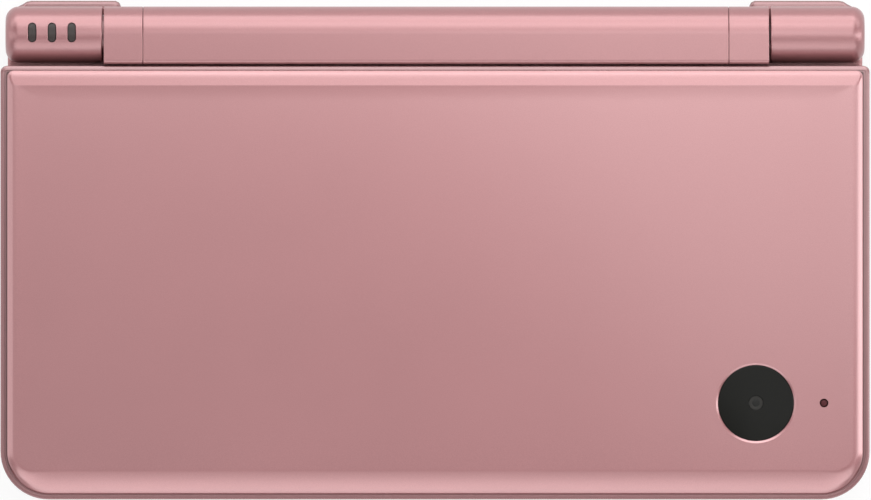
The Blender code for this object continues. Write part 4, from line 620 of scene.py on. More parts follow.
def bevelInset(knots, drop):
    # how far in from the edge a bevel stands when it has fallen by drop, its tilt running evenly between knots
    fallen, steps = 0.0, cover["bevelSteps"]
    for (inner, innerTilt), (outer, outerTilt) in zip(knots, knots[1:]):
        for i in range(steps):
            tilt = math.radians(innerTilt + (outerTilt - innerTilt) * (i + 0.5) / steps)
            stepDown = (inner - outer) / steps * math.tan(tilt)
            if fallen + stepDown >= drop:
                share = (drop - fallen) / stepDown
                return inner - (inner - outer) * (i + share) / steps
            fallen += stepDown
    return 0.0


def frontCorner(side, front, start):
    # the arc of a front corner, its inset running smoothly from the side's to the front's
    corner = cover["corner"]
    middle = (cover["halfWidth"] - corner) * (-1 if start == 180 else 1)
    points = []
    for x, y in arcPoints((0, 0), 1, start, start + 90, cover["cornerSteps"]):
        reach = corner - side * x * x - front * y * y
        points.append((middle + reach * x, cover["front"] + corner + reach * y))
    return points


def coverOutline(side, rear, front):
    steps = cover["cornerSteps"]
    points = evenOutline(cover["halfWidth"] - side, cover["front"] + front, cover["rear"] - rear,
                         cover["corner"] - (side + front) / 2, console["rearCorner"] - (side + rear) / 2, steps)
    if max(side, front) < cover["corner"] - 1:  # room is left for a rounded corner
        points[-2 * (steps + 1):] = frontCorner(side, front, 180) + frontCorner(side, front, 270)
    return points


def coverRings():
    low, top, foot, steps = cover["low"], console["height"], cover["footRound"], cover["dipSteps"]
    rings = [((foot, foot, foot), low), ((0, 0, 0), low + foot)]
    for drop in reversed(cover["drops"]):
        insets = [bevelInset(cover[edge], drop) for edge in ("sideBevel", "rearBevel", "frontBevel")]
        rings.append((insets, top - drop))
    crease = rings[-1][0]
    for i in range(1, steps + 1):  # a slight dip inside the bevel
        share = i / steps
        insets = [inset + width * share for inset, width in zip(crease, cover["dipWidths"])]
        rings.append((insets, top - cover["dip"] * (1 - (1 - share) ** 2)))
    return rings


def makeLidCover():
    shell = loft([(coverOutline(*insets), level) for insets, level in coverRings()])
    wall = coverOutline(*[cover["wall"]] * 3)
    inner = coverOutline(*[cover["innerBevel"]] * 3)
    top, radius, under = console["height"], camera["holeRadius"], coverRoof - beyond
    mouth = [(under, radius)] + [(top + level, radius + wider) for level, wider in camera["mouth"]]
    cut(
        shell,
        loft([(wall, cover["low"] - overrun), (wall, coverRoof - cover["innerDrop"]), (inner, coverRoof)]),
        turned(cameraPlace, mouth, 96),
        hole(indicatorPlace, indicator["holeRadius"], under, top, sides=32, highRound=0.1),
    )
    finished(shell, "lidCoverShell", lidPaint, "lid", ["lid_cover"], 7.5)


def makeOuterCamera():
    top, pupil = camera["top"], camera["pupilRadius"]
    window = disc(cameraPlace, camera["radius"], top - camera["thickness"], top, camera["lowRound"],
                  camera["highRound"], sides=96)
    cut(window, hole(cameraPlace, camera["lensRadius"], top - camera["lensDepth"], top, highRound=camera["lensLip"]))
    finished(window, "outerCameraGlass", blackGlass, "lid", ["outer_camera_window"])
    ring = turned(cameraPlace, [(top + level, radius) for level, radius in camera["ring"]])
    finished(ring, "outerLensRing", lensGrey, "lid")
    dome = domeProfile(top - camera["pupilEdge"], camera["pupilHeight"], pupil)
    dome = turned(cameraPlace, [(top - camera["pupilLow"], pupil)] + dome, 36)
    finished(dome, "outerLensGlass", lensGlass, "lid")
    flange, shelf = indicator["flange"], coverRoof - fit
    profile = [(coverRoof - indicator["flangeDepth"], flange), (shelf, flange), (shelf, indicator["radius"])]
    pipe = turned(indicatorPlace, profile + [(top + level, radius) for level, radius in indicator["end"]], 32)
    finished(pipe, "indicatorPipe", indicatorGlass, "lid", ["camera_light_pipe"])


makeLidCover()
makeOuterCamera()
print("lid cover and camera made")

# lid frame

lidFrame = {
    "low": 12.3, "bottomRound": 0.8, "rimTop": 19.9, "grooveFloor": 19.6, "ledge": 18.3, "seat": 1.12,
    "grooveLip": 0.08, "band": 0.75, "rearBand": 0.86, "wall": 2.4, "deck": 13.3, "deckTop": 14.6, "border": 3.2,
    "borderLip": 0.35,
    # (drop from the top, inset at sides and front, inset at the rear) of the rim's rounding
    "rim": [(0.9, 0.0, 0.0), (0.42, 0.0, 0.02), (0.28, 0.01, 0.08), (0.16, 0.03, 0.28), (0.07, 0.08, 0.55),
            (0.02, 0.2, 0.74), (0.0, 0.45, 0.84)],
}
speakerSlots = {"width": 1.6, "length": 6.2, "lip": 0.2, "steps": (-4.0, 0.0, 4.0)}
bumpers = {
    "radius": 2.4, "height": 1.6, "rim": 0.4, "low": 12.0, "recess": 0.6, "lip": 0.12,
    "places": [(-72.0, -37.25), (72.0, -37.25), (-72.0, 25.6), (72.0, 25.6)],
}


def lidOutline(inset):
    return casingOutline(inset, console["halfWidth"], console["front"])


def rimOutline(side, rear):
    return evenOutline(console["halfWidth"] - side, console["front"] + side, console["lidRear"] - rear,
                       console["frontCorner"] - side, console["rearCorner"] - (side + rear) / 2)


def grooveOutline(inset):
    # the groove under the cover's edge is narrower along the rear
    band = lidFrame["band"] + inset
    return evenOutline(console["halfWidth"] - band, console["front"] + band,
                       console["lidRear"] - lidFrame["rearBand"] - inset, console["frontCorner"] - band, 0)


def screenOutline(inset):
    return rectangle((0, screen["y"]), screen["width"] - 2 * inset, screen["depth"] - 2 * inset,
                     screen["corner"] - inset)


def makeLidFrame():
    low, deck, deckTop, top = (lidFrame[key] for key in ("low", "deck", "deckTop", "rimTop"))
    foot = lidFrame["bottomRound"]
    rings = [(lidOutline(foot * (1 - math.sin(a))), low + foot * (1 - math.cos(a))) for a in quarterTurn()]
    rings += [(rimOutline(side, rear), top - drop) for drop, side, rear in lidFrame["rim"]]
    shell = cut(
        loft(rings),
        flared(grooveOutline, lidFrame["grooveFloor"], top, highRound=lidFrame["grooveLip"]),
        prism(lidOutline(lidFrame["seat"]), lidFrame["ledge"], top),
        prism(lidOutline(lidFrame["wall"]), deckTop, top + overrun),
        flared(lambda inset: lidOutline(lidFrame["border"] + inset), low, deck, lowRound=lidFrame["borderLip"]),
        flared(screenOutline, deck, deckTop + beyond, lowRound=screen["lip"]),
    )
    for side in (-1, 1):
        for step in speakerSlots["steps"]:
            cut(shell, slot((side * margin + step, screen["y"]), speakerSlots["width"], speakerSlots["length"], 8,
                            deck, deckTop + beyond, lowRound=speakerSlots["lip"]))
    for place in bumpers["places"]:
        cut(shell, hole(place, bumpers["radius"] + fit, deck, deck + bumpers["recess"], sides=36,
                        lowRound=bumpers["lip"]))
    finished(shell, "lidFrameShell", shadedRosePaint, "lid", ["lid_frame"])
    pads = runTree(roundPads, [(x, y, bumpers["low"]) for x, y in bumpers["places"]], Radius=bumpers["radius"],
                   Height=bumpers["height"], Rim=bumpers["rim"], Material=rubberGrey)
    finished(pads, "lidBumpers", rubberGrey, "lid", [f"lid_bumper_{i}" for i in (1, 2, 3, 4)])


makeLidFrame()
print("lid frame made")

# hinge

barrels = {
    "centre": (-54.08, 54.37), "leftCollar": (-61.35, -54.14), "rightCollar": (54.43, 61.85),
    "leftEnd": (-79.6, -61.65), "rightEnd": (62.15, 79.6),
    "front": -5.5, "low": -2.6, "cornerRadius": 0.8, "seamRounding": 0.12, "rimRounding": 0.3, "endRounding": 2.4,
    "bore": 4.0, "endWall": 1.6, "stub": 3.2, "cableBore": 2.2, "shaftHalf": 2.1, "rodSides": 64,
}
statusLights = {
    "places": (-74.6, -70.94, -67.28), "y": 40.25, "width": 1.55, "length": 3.7, "gap": 0.12, "steps": 10,
    "barTop": 18.9, "barThickness": 0.6, "barEnd": 1.175, "barHalf": 1.0, "sunk": 0.22,
}
innerCamera = {
    "radius": 2.1, "height": 3.4, "sunk": 0.3, "round": 0.1, "holeRadius": 2.4, "holeSunk": 0.1, "holeLip": 0.25,
    "lensHole": 0.75, "lensHoleDepth": 0.45, "lensLip": 0.25, "lensRadius": 0.7, "lensSunk": 0.35, "lensDome": 0.2,
    "lensFoot": 0.44,
}
microphone = {"x": 12.5, "holeRadius": 0.6, "holeSunk": 0.05, "holeLip": 0.12}
hingeLow, hingeTop = hinge["z"] - hinge["radius"], hinge["z"] + hinge["radius"]


def sectionCurve(points, name):
    # the barrel's section as a closed poly curve, for the sweep
    curve = bpy.data.curves.new(name, "CURVE")
    curve.dimensions = "3D"
    spline = curve.splines.new("POLY")
    spline.points.add(len(points) - 1)
    for target, (u, v) in zip(spline.points, points):
        target.co = (u, v, 0, 1)
    spline.use_cyclic_u = True
    return linked(curve, name)


def knuckleSection():
    # round above and behind, with a flat front that meets the lid
    front, low, corner = barrels["front"], barrels["low"], barrels["cornerRadius"]
    points = arcPoints((0, 0), hinge["radius"], -120, 90, 56)
    points += arcPoints((front + corner, hinge["radius"] - corner), corner, 90, 180, 8)
    return points + [(front, low + 0.3), (front + 0.25, low)]


def sweptBarrel(section, start, end, startRounding, endRounding):
    piece = runTree(barrelSweep, [], Section=section, Start=start, End=end, Start_rounding=startRounding,
                    End_rounding=endRounding, Start_draw=startRounding, End_draw=endRounding, Steps=10,
                    Radius=hinge["radius"], Material=shadedBarrelPaint)
    piece.data.transform(Matrix.Rotation(math.pi, 4, "X"))  # the sweep lays the section upside down
    piece.data.transform(Matrix.Translation((0, hinge["y"], hinge["z"])))
    return welded(piece)


def borer(low, high, radius=barrels["bore"], sides=48):
    return rod(hingeAxis, radius, low, high, sides, "X")


def makeBarrels():
    sides = barrels["rodSides"]
    knuckle = sectionCurve(knuckleSection(), "knuckleSection")
    tube = sectionCurve(arcPoints((0, 0), hinge["radius"], 0, 360 - 360 / sides, sides - 1), "rodSection")
    seam, rim, end = barrels["seamRounding"], barrels["rimRounding"], barrels["endRounding"]

    start, stop = barrels["centre"]
    piece = cut(sweptBarrel(knuckle, start, stop, seam, seam), borer(start - overrun, stop + overrun))
    for x, place, count in ((0, innerCamera, 40), (microphone["x"], microphone, 20)):
        cut(piece, hole((x, hinge["y"]), place["holeRadius"], hingeLow + place["holeSunk"], hinge["z"], sides=count,
                        lowRound=place["holeLip"]))
    finished(piece, "hingeBarrelShell", shadedBarrelPaint, "lid", ["lid_hinge_barrel"])

    start, stop = barrels["leftCollar"]
    piece = sweptBarrel(knuckle, start, stop, seam, seam)
    join(piece, borer(start - barrels["stub"], start + beyond, barrels["bore"] - fit))
    cut(piece, borer(start - overrun, stop + overrun, barrels["cableBore"], 36))
    finished(piece, "leftCollarShell", shadedBarrelPaint, "lid", ["left_hinge_collar"])

    start, stop = barrels["rightCollar"]
    half = barrels["shaftHalf"]
    piece = sweptBarrel(knuckle, start, stop, seam, seam)
    cut(piece, box((start - overrun, stop + overrun), (hinge["y"] - half, hinge["y"] + half),
                   (hinge["z"] - half, hinge["z"] + half)))
    finished(piece, "rightCollarShell", shadedBarrelPaint, "lid", ["right_hinge_collar"])

    start, stop = barrels["leftEnd"]
    piece = cut(sweptBarrel(tube, start, stop, end, rim), borer(start + barrels["endWall"], stop + overrun))
    for x in statusLights["places"]:
        cut(piece, slot((x, statusLights["y"]), statusLights["width"], statusLights["length"], statusLights["steps"],
                        hinge["z"], hingeTop - 0.06, highRound=0.1))
    finished(piece, "leftBarrelShell", shadedBarrelPaint, "base", ["left_hinge_barrel"])

    start, stop = barrels["rightEnd"]
    piece = cut(sweptBarrel(tube, start, stop, rim, end), borer(start - overrun, stop - barrels["endWall"]))
    finished(piece, "rightBarrelShell", shadedBarrelPaint, "base", ["right_hinge_barrel"])
    for helper in (knuckle, tube):
        bpy.data.objects.remove(helper)


def makeStatusLights():
    # three smoked windows on one bar, each following the barrel's curve just under its surface
    places, y, gap, barTop = (statusLights[key] for key in ("places", "y", "gap", "barTop"))
    end, half = statusLights["barEnd"], statusLights["barHalf"]
    pipe = box((places[0] - end, places[-1] + end), (y - half, y + half),
               (barTop - statusLights["barThickness"], barTop))
    width, length = statusLights["width"] - 2 * gap, statusLights["length"] - 2 * gap
    for x in places:
        prong = prism(pill((x, y), width, length, statusLights["steps"]), barTop - 0.3, console["height"])
        combine("INTERSECT", prong, borer(x - 3, x + 3, hinge["radius"] - statusLights["sunk"], 96))
        join(pipe, prong)
    finished(pipe, "statusLightWindows", smokedWindow, "base", ["status_light_pipe"])


def makeInnerCamera():
    place, face, edge = (0, hinge["y"]), hingeLow + innerCamera["sunk"], innerCamera["round"]
    body = disc(place, innerCamera["radius"], face, face + innerCamera["height"], edge, edge, sides=40)
    cut(body, hole(place, innerCamera["lensHole"], face, face + innerCamera["lensHoleDepth"], sides=32,
                   lowRound=innerCamera["lensLip"]))
    finished(body, "innerCameraBody", blackGlass, "lid", ["inner_camera"])
    radius = innerCamera["lensRadius"]
    dome = domeProfile(face + innerCamera["lensSunk"], -innerCamera["lensDome"], radius)[::-1]
    lens = turned(place, dome + [(face + innerCamera["lensFoot"], radius)], 32)
    finished(lens, "innerCameraLens", lensGrey, "lid")


makeBarrels()
makeStatusLights()
makeInnerCamera()
print("hinge made")

# base casings

base = {
    "halfWidth": 80.1, "front": -45.85, "low": 0.5, "floor": 2.1, "parting": 7.4, "topLow": 7.7, "top": 12.0,
    "deck": 11.5, "deckUnder": 10.0, "wall": 1.4, "bottomRound": 2.6, "topRound": 0.8, "partingRound": 0.12,
    "deckRim": 3.0, "sideInner": 78.4,
}
neck = {"half": 79.3, "start": 30.1, "rear": 44.9, "corner": 4.0, "roof": 8.4, "cavityHalf": 74.1, "cavityRear": 41.1,
        "socketFront": 39.0}
shoulder = {
    "inner": 58.4, "rear": 46.25, "thick": 2.0, "chamferX": 3.4, "chamferY": 2.2, "side": 8.8, "low": 3.2,
    "high": 9.8, "round": 0.8, "pivotX": 61.0, "pivotY": 43.35, "boss": 1.4, "bossHigh": 9.4, "pin": 0.7,
    "pinGap": 0.25, "pinReach": 0.6, "swing": 1.7, "recessLow": 2.9, "endGap": 0.5,
}
screws = {
    "head": 1.7, "headRecess": 2.0, "recessTop": 1.6, "recessLip": 0.15, "hole": 1.1, "holeTop": 6.8, "level": 1.06,
    "shank": 5.2, "post": 2.4, "postLow": 2.4, "postTop": 10.75,
    "places": [(-70.0, -39.5), (70.0, -39.5), (-69.0, 33.2), (69.0, 33.2)],
    "coverShank": 2.4, "coverRecessTop": 1.4, "coverRecessLip": 0.12,
    "coverPlaces": [(-24.75, -12.75), (-24.75, 13.25)],
}
feet = {
    "radius": 3.3, "height": 1.0, "rim": 0.3, "recessTop": 1.3, "recessLip": 0.12,
    "places": [(-70.0, -28.0), (70.0, -28.0), (-70.0, 26.8), (70.0, 26.8)],
}
batteryCover = {
    "left": -71.5, "right": -22.0, "front": -21.5, "rear": 22.0, "corner": 2.0, "low": 0.5, "high": 1.8, "lip": 0.15,
    "ledgeReach": 6.8, "ledgeRoot": 1.2, "ledgeHalf": 3.2, "ledgeLow": 1.5, "ledgeHigh": 3.3,
    "tongueReach": 13, "tongueHalf": 3.35,
    "grooves": {"Count": 7, "Start": (-66.5, -6.0, 0.5), "Step": (0.0, 2.1, 0.0), "Bar_size": (5.0, 0.8, 0.3)},
}
gameSlot = {"x": 0.0, "z": 4.6, "width": 34.0, "height": 3.9, "corner": 0.5, "lip": 0.35}
chargeSlot = {"x": 38.0, "z": 4.6, "width": 8.4, "height": 3.2, "corner": 0.5, "lip": 0.3}
phoneHole = {"x": -56.0, "z": 4.5, "radius": 2.5, "rear": -44.1, "lip": 0.25}
stylus = {
    "y": -33.0, "z": 4.5, "radius": 2.3, "length": 92.0, "lip": 0.2,
    # (distance from the tip, radius) pairs, then where each grip ring starts and the (length, depth) pairs of one
    "tip": [(0, 0.2), (0.15, 0.5), (0.6, 0.8), (6, 1.5), (7, 1.6), (7.2, 2.1)],
    "rings": (12, 14, 16, 18, 20), "ring": [(0, 0), (0.2, 0.2), (0.6, 0.2), (0.8, 0)],
    # (distance from the head, depth) pairs
    "head": [(0.8, 0), (0.25, 0.25), (0.05, 0.6), (0, 0.9)],
}
cardCover = {"y": -6.15, "z": 4.3, "width": 27.7, "height": 3.0, "thick": 1.1, "corner": 0.3, "round": 0.2}
rocker = {
    "y": 19.0, "z": 4.8, "length": 13.4, "height": 2.6, "depth": 2.4, "proud": 0.4, "flange": 0.9, "flangeHalf": 0.35,
    "corner": 0.3, "lip": 0.15, "grip": 3.6, "gripStep": 0.8, "gripSize": (0.24, 0.3, 1.5),
}


def baseOutline(inset):
    return casingOutline(inset, base["halfWidth"], base["front"])


def neckOutline(inset):
    return evenOutline(neck["half"] - inset, neck["start"], neck["rear"] - inset, 0, neck["corner"] - inset, 3, 10)


def batteryOutline(inset):
    corner = batteryCover["corner"] - inset
    return planOutline(batteryCover["left"] + inset, batteryCover["right"] - inset, batteryCover["front"] + inset,
                       batteryCover["rear"] - inset, corner, corner, 6, 6)


def hollowed(case, low, high, neckHigh):
    # the casing's inside, and the room in the neck behind it
    cavity = evenOutline(neck["cavityHalf"], neck["start"], neck["cavityRear"], 0, 2.0, 3, 6)
    return cut(case, prism(baseOutline(base["wall"]), low, high), prism(cavity, low, neckHigh))


def shoulderRecess(side):
    inwards = shoulder["thick"] + shoulder["swing"]
    back, sideX = shoulder["rear"] - inwards, neck["half"] - inwards
    inner = shoulder["inner"] - shoulder["endGap"]
    near = shoulder["rear"] - shoulder["side"] - shoulder["swing"]
    face = shoulder["rear"] - shoulder["thick"] - fit
    bossEnd = shoulder["pivotX"] + shoulder["boss"] + fit
    outline = [
        (inner, face), (bossEnd, face), (bossEnd, back), (sideX - shoulder["chamferX"] / 2, back),
        (sideX, back - shoulder["chamferY"] / 2), (sideX, near), (90, near), (90, 55), (inner, 55),
    ]
    return [(x * side, y) for x, y in outline]


def cutShoulders(case):
    low, bossHigh, y = shoulder["recessLow"], shoulder["bossHigh"], shoulder["pivotY"]
    gap = shoulder["boss"] + fit
    for side in (1, -1):
        x = side * shoulder["pivotX"]
        cut(
            case,
            prism(shoulderRecess(side), low, shoulder["high"] + fit),
            box((x - gap, x + gap), (y - gap, shoulder["rear"]), (low, bossHigh + fit)),
            rod((x, y), shoulder["pin"] + shoulder["pinGap"], low - 0.6, bossHigh + 0.9, 16),
        )


def makeBottomCase():
    low, floor, top, parting = base["low"], base["floor"], base["parting"], base["partingRound"]
    side, inside, drill = base["halfWidth"], base["sideInner"], screws["hole"]
    case = rounded(baseOutline, low, top, base["bottomRound"], parting, steps=8)
    join(case, rounded(neckOutline, low, top, base["bottomRound"], parting, steps=8))
    hollowed(case, floor, top + overrun, top + overrun)
    cutShoulders(case)
    cut(case, flared(lambda inset: batteryOutline(inset - fit), low, floor + beyond, lowRound=batteryCover["lip"]))
    edge = batteryCover["right"] + fit
    half, tongueHalf = batteryCover["ledgeHalf"], batteryCover["tongueHalf"]
    for x, y in screws["coverPlaces"]:  # a ledge above the battery cover for each of its screws
        join(case, box((edge - batteryCover["ledgeReach"], edge + batteryCover["ledgeRoot"]), (y - half, y + half),
                       (batteryCover["ledgeLow"], batteryCover["ledgeHigh"])))
        cut(case, box((edge - batteryCover["tongueReach"], edge), (y - tongueHalf, y + tongueHalf), (low, floor)),
            rod((x, y), drill, low, base["top"], 20))
    for place in screws["places"]:
        cut(case, hole(place, screws["headRecess"], low, screws["recessTop"], sides=32, lowRound=screws["recessLip"]),
            rod(place, drill, low, top, 20))
    for place in feet["places"]:
        cut(case, hole(place, feet["radius"] + fit, low, feet["recessTop"], lowRound=feet["recessLip"]))
    y, z = cardCover["width"] / 2 + fit, cardCover["height"] / 2 + fit
    cut(
        case,
        opening((rocker["y"], rocker["z"]), rocker["length"] + 2 * fit, rocker["height"] + 2 * fit, rocker["corner"],
                -side, -inside, lowRound=rocker["lip"], axis="X"),
        box((inside, 90), (cardCover["y"] - y, cardCover["y"] + y), (cardCover["z"] - z, cardCover["z"] + z)),
        hole((stylus["y"], stylus["z"]), stylus["radius"] + fit, 70, side, highRound=stylus["lip"], axis="X"),
    )
    for place in (gameSlot, chargeSlot):
        cut(case, opening((place["x"], place["z"]), place["width"], place["height"], place["corner"],
                          neck["socketFront"], neck["rear"], highRound=place["lip"], axis="Y"))
    cut(case, hole((phoneHole["x"], phoneHole["z"]), phoneHole["radius"], base["front"], phoneHole["rear"], sides=40,
                   lowRound=phoneHole["lip"], axis="Y"))
    finished(case, "bottomCaseShell", caseSatin, "base", ["bottom_case"])


pad = {
    "x": -margin, "y": 4.0, "span": 23.0, "arm": 7.6, "corner": 0.9, "low": 8.7, "top": 12.25, "round": 0.35,
    "holeGap": 0.45, "lip": 0.3, "mark": 7.9, "markLength": 4.4, "markWidth": 0.7, "markDepth": 0.15,
    # (level from the top, radius) pairs of the dish, then radius, low, high and sides of what holds the pad below
    "dish": [(-0.22, 0.4), (-0.16, 1.6), (0.0, 2.7), (1.0, 3.2)],
    "plate": (9.5, 8.4, 9.0, 64), "pivot": (1.5, 8.2, 8.8, 24),
}
faceButtons = {"x": margin, "y": 4.0, "spread": 8.6, "radius": 4.1, "top": 12.5, "holeGap": 0.25, "lip": 0.3}
smallButtonTop, smallButtonLip = 12.1, 0.22
smallButtons = {
    "start": ((53.5, -19.5), 2.6), "select": ((53.5, -27.5), 2.6), "power": ((-53.5, -27.5), 3.0),
}


def facePlaces():
    spread = faceButtons["spread"]
    steps = {"front": (0, -spread), "right": (spread, 0), "rear": (0, spread), "left": (-spread, 0)}
    return {name: (faceButtons["x"] + x, faceButtons["y"] + y) for name, (x, y) in steps.items()}


def padOutline(inset):
    reach, half, radius = pad["span"] / 2 - inset, pad["arm"] / 2 - inset, pad["corner"]
    arm = arcPoints((reach - radius, -half + radius), radius, -90, 0, 4)
    arm += arcPoints((reach - radius, half - radius), radius, 0, 90, 4)
    arm += [(half + 0.25, half), (half, half + 0.25)]
    points = []
    for a in (0, math.pi / 2, math.pi, 3 * math.pi / 2):
        points += [(x * math.cos(a) - y * math.sin(a), x * math.sin(a) + y * math.cos(a)) for x, y in arm]
    return [(pad["x"] + x, pad["y"] + y) for x, y in points]


def hingeClearance():
    # the trough that the barrels turn in, open to above and sloping up behind
    radius, far, slope = hinge["radius"] + fit, 40, 25
    points = arcPoints(hingeAxis, radius, 180, 270 + slope, 28)
    lastY, lastZ = points[-1]
    tilt = math.radians(slope)
    points.append((lastY + far * math.cos(tilt), lastZ + far * math.sin(tilt)))
    points += [(hinge["y"] + far, hinge["z"] + far), (hinge["y"] - radius, hinge["z"] + far)]
    return prism(points, -90, 90, "X")


def makeTopCase():
    low, top, parting = base["topLow"], base["top"], base["partingRound"]
    deck, under = base["deck"], base["deckUnder"] - beyond
    case = rounded(baseOutline, low, top, parting, base["topRound"], steps=6)
    join(case, rounded(neckOutline, low, top, parting, base["topRound"], steps=6))
    hollowed(case, low - overrun, base["deckUnder"], neck["roof"])
    cut(case, flared(lambda inset: baseOutline(base["deckRim"] + inset), deck, top, highRound=screen["lip"]),
        hingeClearance())
    cutShoulders(case)
    cut(case, flared(screenOutline, under, deck, highRound=screen["lip"]),
        flared(lambda inset: padOutline(inset - pad["holeGap"]), under, deck, highRound=pad["lip"]))
    gap = faceButtons["holeGap"]
    for place in facePlaces().values():
        cut(case, hole(place, faceButtons["radius"] + gap, under, deck, highRound=faceButtons["lip"]))
    for place, radius in smallButtons.values():
        cut(case, hole(place, radius + gap, under, deck, sides=40, highRound=smallButtonLip))
    for place in screws["places"]:
        join(case, rod(place, screws["post"], screws["postLow"], screws["postTop"], 24))
        cut(case, rod(place, screws["hole"], base["low"], screws["holeTop"], 20))
    finished(welded(case), "topCaseShell", caseSatin, "base", ["top_case"])


makeBottomCase()
makeTopCase()
print("casings made")


# underside: battery cover, screws, feet

def makeUnderside():
    low = batteryCover["low"]
    plate = rounded(batteryOutline, low, batteryCover["high"], 0.15)
    for place in screws["coverPlaces"]:
        cut(plate, hole(place, screws["headRecess"], low, screws["coverRecessTop"], sides=32,
                        lowRound=screws["coverRecessLip"]),
            rod(place, screws["hole"], low, 3, 20))
    # shallow thumb grooves near the left edge
    cut(plate, runTree(barRow, [], Material=caseSatin, **batteryCover["grooves"]))
    finished(plate, "batteryCoverPlate", caseSatin, "base", ["battery_cover"])
    for name, places, shank, nodes in (
        ("caseScrews", screws["places"], screws["shank"], [f"case_screw_{i}" for i in (1, 2, 3, 4)]),
        ("batteryCoverScrews", screws["coverPlaces"], screws["coverShank"],
         ["battery_cover_screw_1", "battery_cover_screw_2"]),
    ):
        heads = runTree(screwHeads, [(x, y, screws["level"]) for x, y in places], Head_radius=screws["head"],
                        Shank_length=shank, Material=steel)
        finished(heads, name, steel, "base", nodes)
    pads = runTree(roundPads, [(x, y, 0.0) for x, y in feet["places"]], Radius=feet["radius"], Height=feet["height"],
                   Rim=feet["rim"], Material=rubberGrey)
    finished(pads, "rubberFeet", rubberGrey, "base", [f"rubber_foot_{i}" for i in (1, 2, 3, 4)])


makeUnderside()
print("underside made")


# controls

def makePad():
    place, top = (pad["x"], pad["y"]), pad["top"]
    cross = rounded(padOutline, pad["low"], top, 0.0, pad["round"])
    # a shallow dish at the middle and a short groove across each arm
    cut(cross, turned(place, [(top + level, radius) for level, radius in pad["dish"]]))
    reach, length, width = pad["mark"], pad["markLength"], pad["markWidth"]
    for x, y, spanX, spanY in ((reach, 0, width, length), (0, reach, length, width), (-reach, 0, width, length),
                               (0, -reach, length, width)):
        mark = rectangle((place[0] + x, place[1] + y), spanX, spanY, 0.3)
        cut(cross, prism(mark, top - pad["markDepth"], top + beyond))
    join(cross, rod(place, *pad["plate"]), rod(place, *pad["pivot"]))
    finished(cross, "directionPadCross", buttonRose, "direction_pad", ["direction_pad"])


buttonShape = {"low": 8.7, "flangeTop": 9.7, "flange": 0.9, "edge": 0.4, "crown": 0.33, "dome": 0.12, "domeSteps": 6}


def roundButton(name, place, radius, top, body):
    # a flange that the deck holds in, a straight side, a rounded edge and a low dome
    flange, edge, dome = radius + buttonShape["flange"], buttonShape["edge"], buttonShape["dome"]
    shoulderLevel = top - dome - buttonShape["crown"]
    profile = [(buttonShape["low"], flange), (buttonShape["flangeTop"], flange), (buttonShape["flangeTop"], radius)]
    profile += [(shoulderLevel + buttonShape["crown"] * math.sin(a), radius - edge * (1 - math.cos(a)))
                for a in quarterTurn()]
    for i in range(1, buttonShape["domeSteps"] + 1):
        left = 1 - i / buttonShape["domeSteps"]
        profile.append((top - dome * left ** 2, max((radius - edge) * left, 0.05)))
    finished(turned(place, profile), name, buttonRose, body, [body])


def shoulderOutline(inset):
    rear, out, thick = shoulder["rear"], neck["half"], shoulder["thick"]
    near, inner = rear - shoulder["side"], shoulder["inner"] + inset
    chamferX, chamferY = shoulder["chamferX"], shoulder["chamferY"]
    return [
        (inner, rear - thick), (inner, rear - inset - 0.9), (inner + 0.3, rear - inset - 0.3),
        (inner + 0.9, rear - inset), (out - chamferX - 0.9, rear - inset),
        (out - chamferX - 0.1, rear - inset - 0.15), (out - chamferX + 0.6, rear - inset - 0.6),
        (out - inset - 0.7, rear - chamferY + 0.55), (out - inset - 0.2, rear - chamferY),
        (out - inset, rear - chamferY - 0.8), (out - inset, near + inset + 0.5),
        (out - inset - 0.5, near + inset), (out - thick, near + inset), (out - thick, rear - chamferY - thick / 3),
        (out - chamferX - thick / 3, rear - thick),
    ]


def makeShoulder(side, sideName):
    low, bossHigh, reach = shoulder["low"], shoulder["bossHigh"], shoulder["pinReach"]
    button = rounded(shoulderOutline, low, shoulder["high"], shoulder["round"], shoulder["round"])
    place = (shoulder["pivotX"], shoulder["pivotY"])
    join(button, rod(place, shoulder["boss"], low, bossHigh, 24),
         rod(place, shoulder["pin"], low - reach, bossHigh + reach, 16))
    if side < 0:
        button.data.transform(Matrix.Scale(-1, 4, (1, 0, 0)))
        button.data.flip_normals()
    node = sideName + "_shoulder_button"
    finished(button, sideName + "ShoulderCap", shadedRosePaint, node, [node])


def makeRocker():
    half, halfHeight, inner = rocker["length"] / 2, rocker["height"] / 2, -base["halfWidth"] + rocker["depth"]
    y, z, thick = rocker["y"], rocker["z"], rocker["flangeHalf"]
    # (depth from the proud face, place along the bar) of half of its outline, hollowed for the finger
    halfOutline = [(0.22, 0.0), (0.2, 0.6), (0.02, half - 2.0), (0.0, half - 1.2), (0.12, half - 0.4), (0.45, half)]
    outer = -base["halfWidth"] - rocker["proud"]
    outline = [(outer + depth, y - along) for depth, along in reversed(halfOutline[1:])]
    outline += [(outer + depth, y + along) for depth, along in halfOutline]
    bar = prism(outline + [(inner, y + half), (inner, y - half)], z - halfHeight, z + halfHeight)
    long, high = half + rocker["flange"], halfHeight + rocker["flange"]
    join(bar, box((inner - thick, inner + thick), (y - long, y + long), (z - high, z + high)))
    for sign in (-1, 1):  # grip grooves at each end
        cut(bar, runTree(barRow, [], Count=3, Start=(outer, y + sign * rocker["grip"], z),
                         Step=(0.0, sign * rocker["gripStep"], 0.0), Bar_size=rocker["gripSize"],
                         Material=buttonRose))
    finished(bar, "volumeRockerBar", buttonRose, "volume_rocker", ["volume_rocker"])


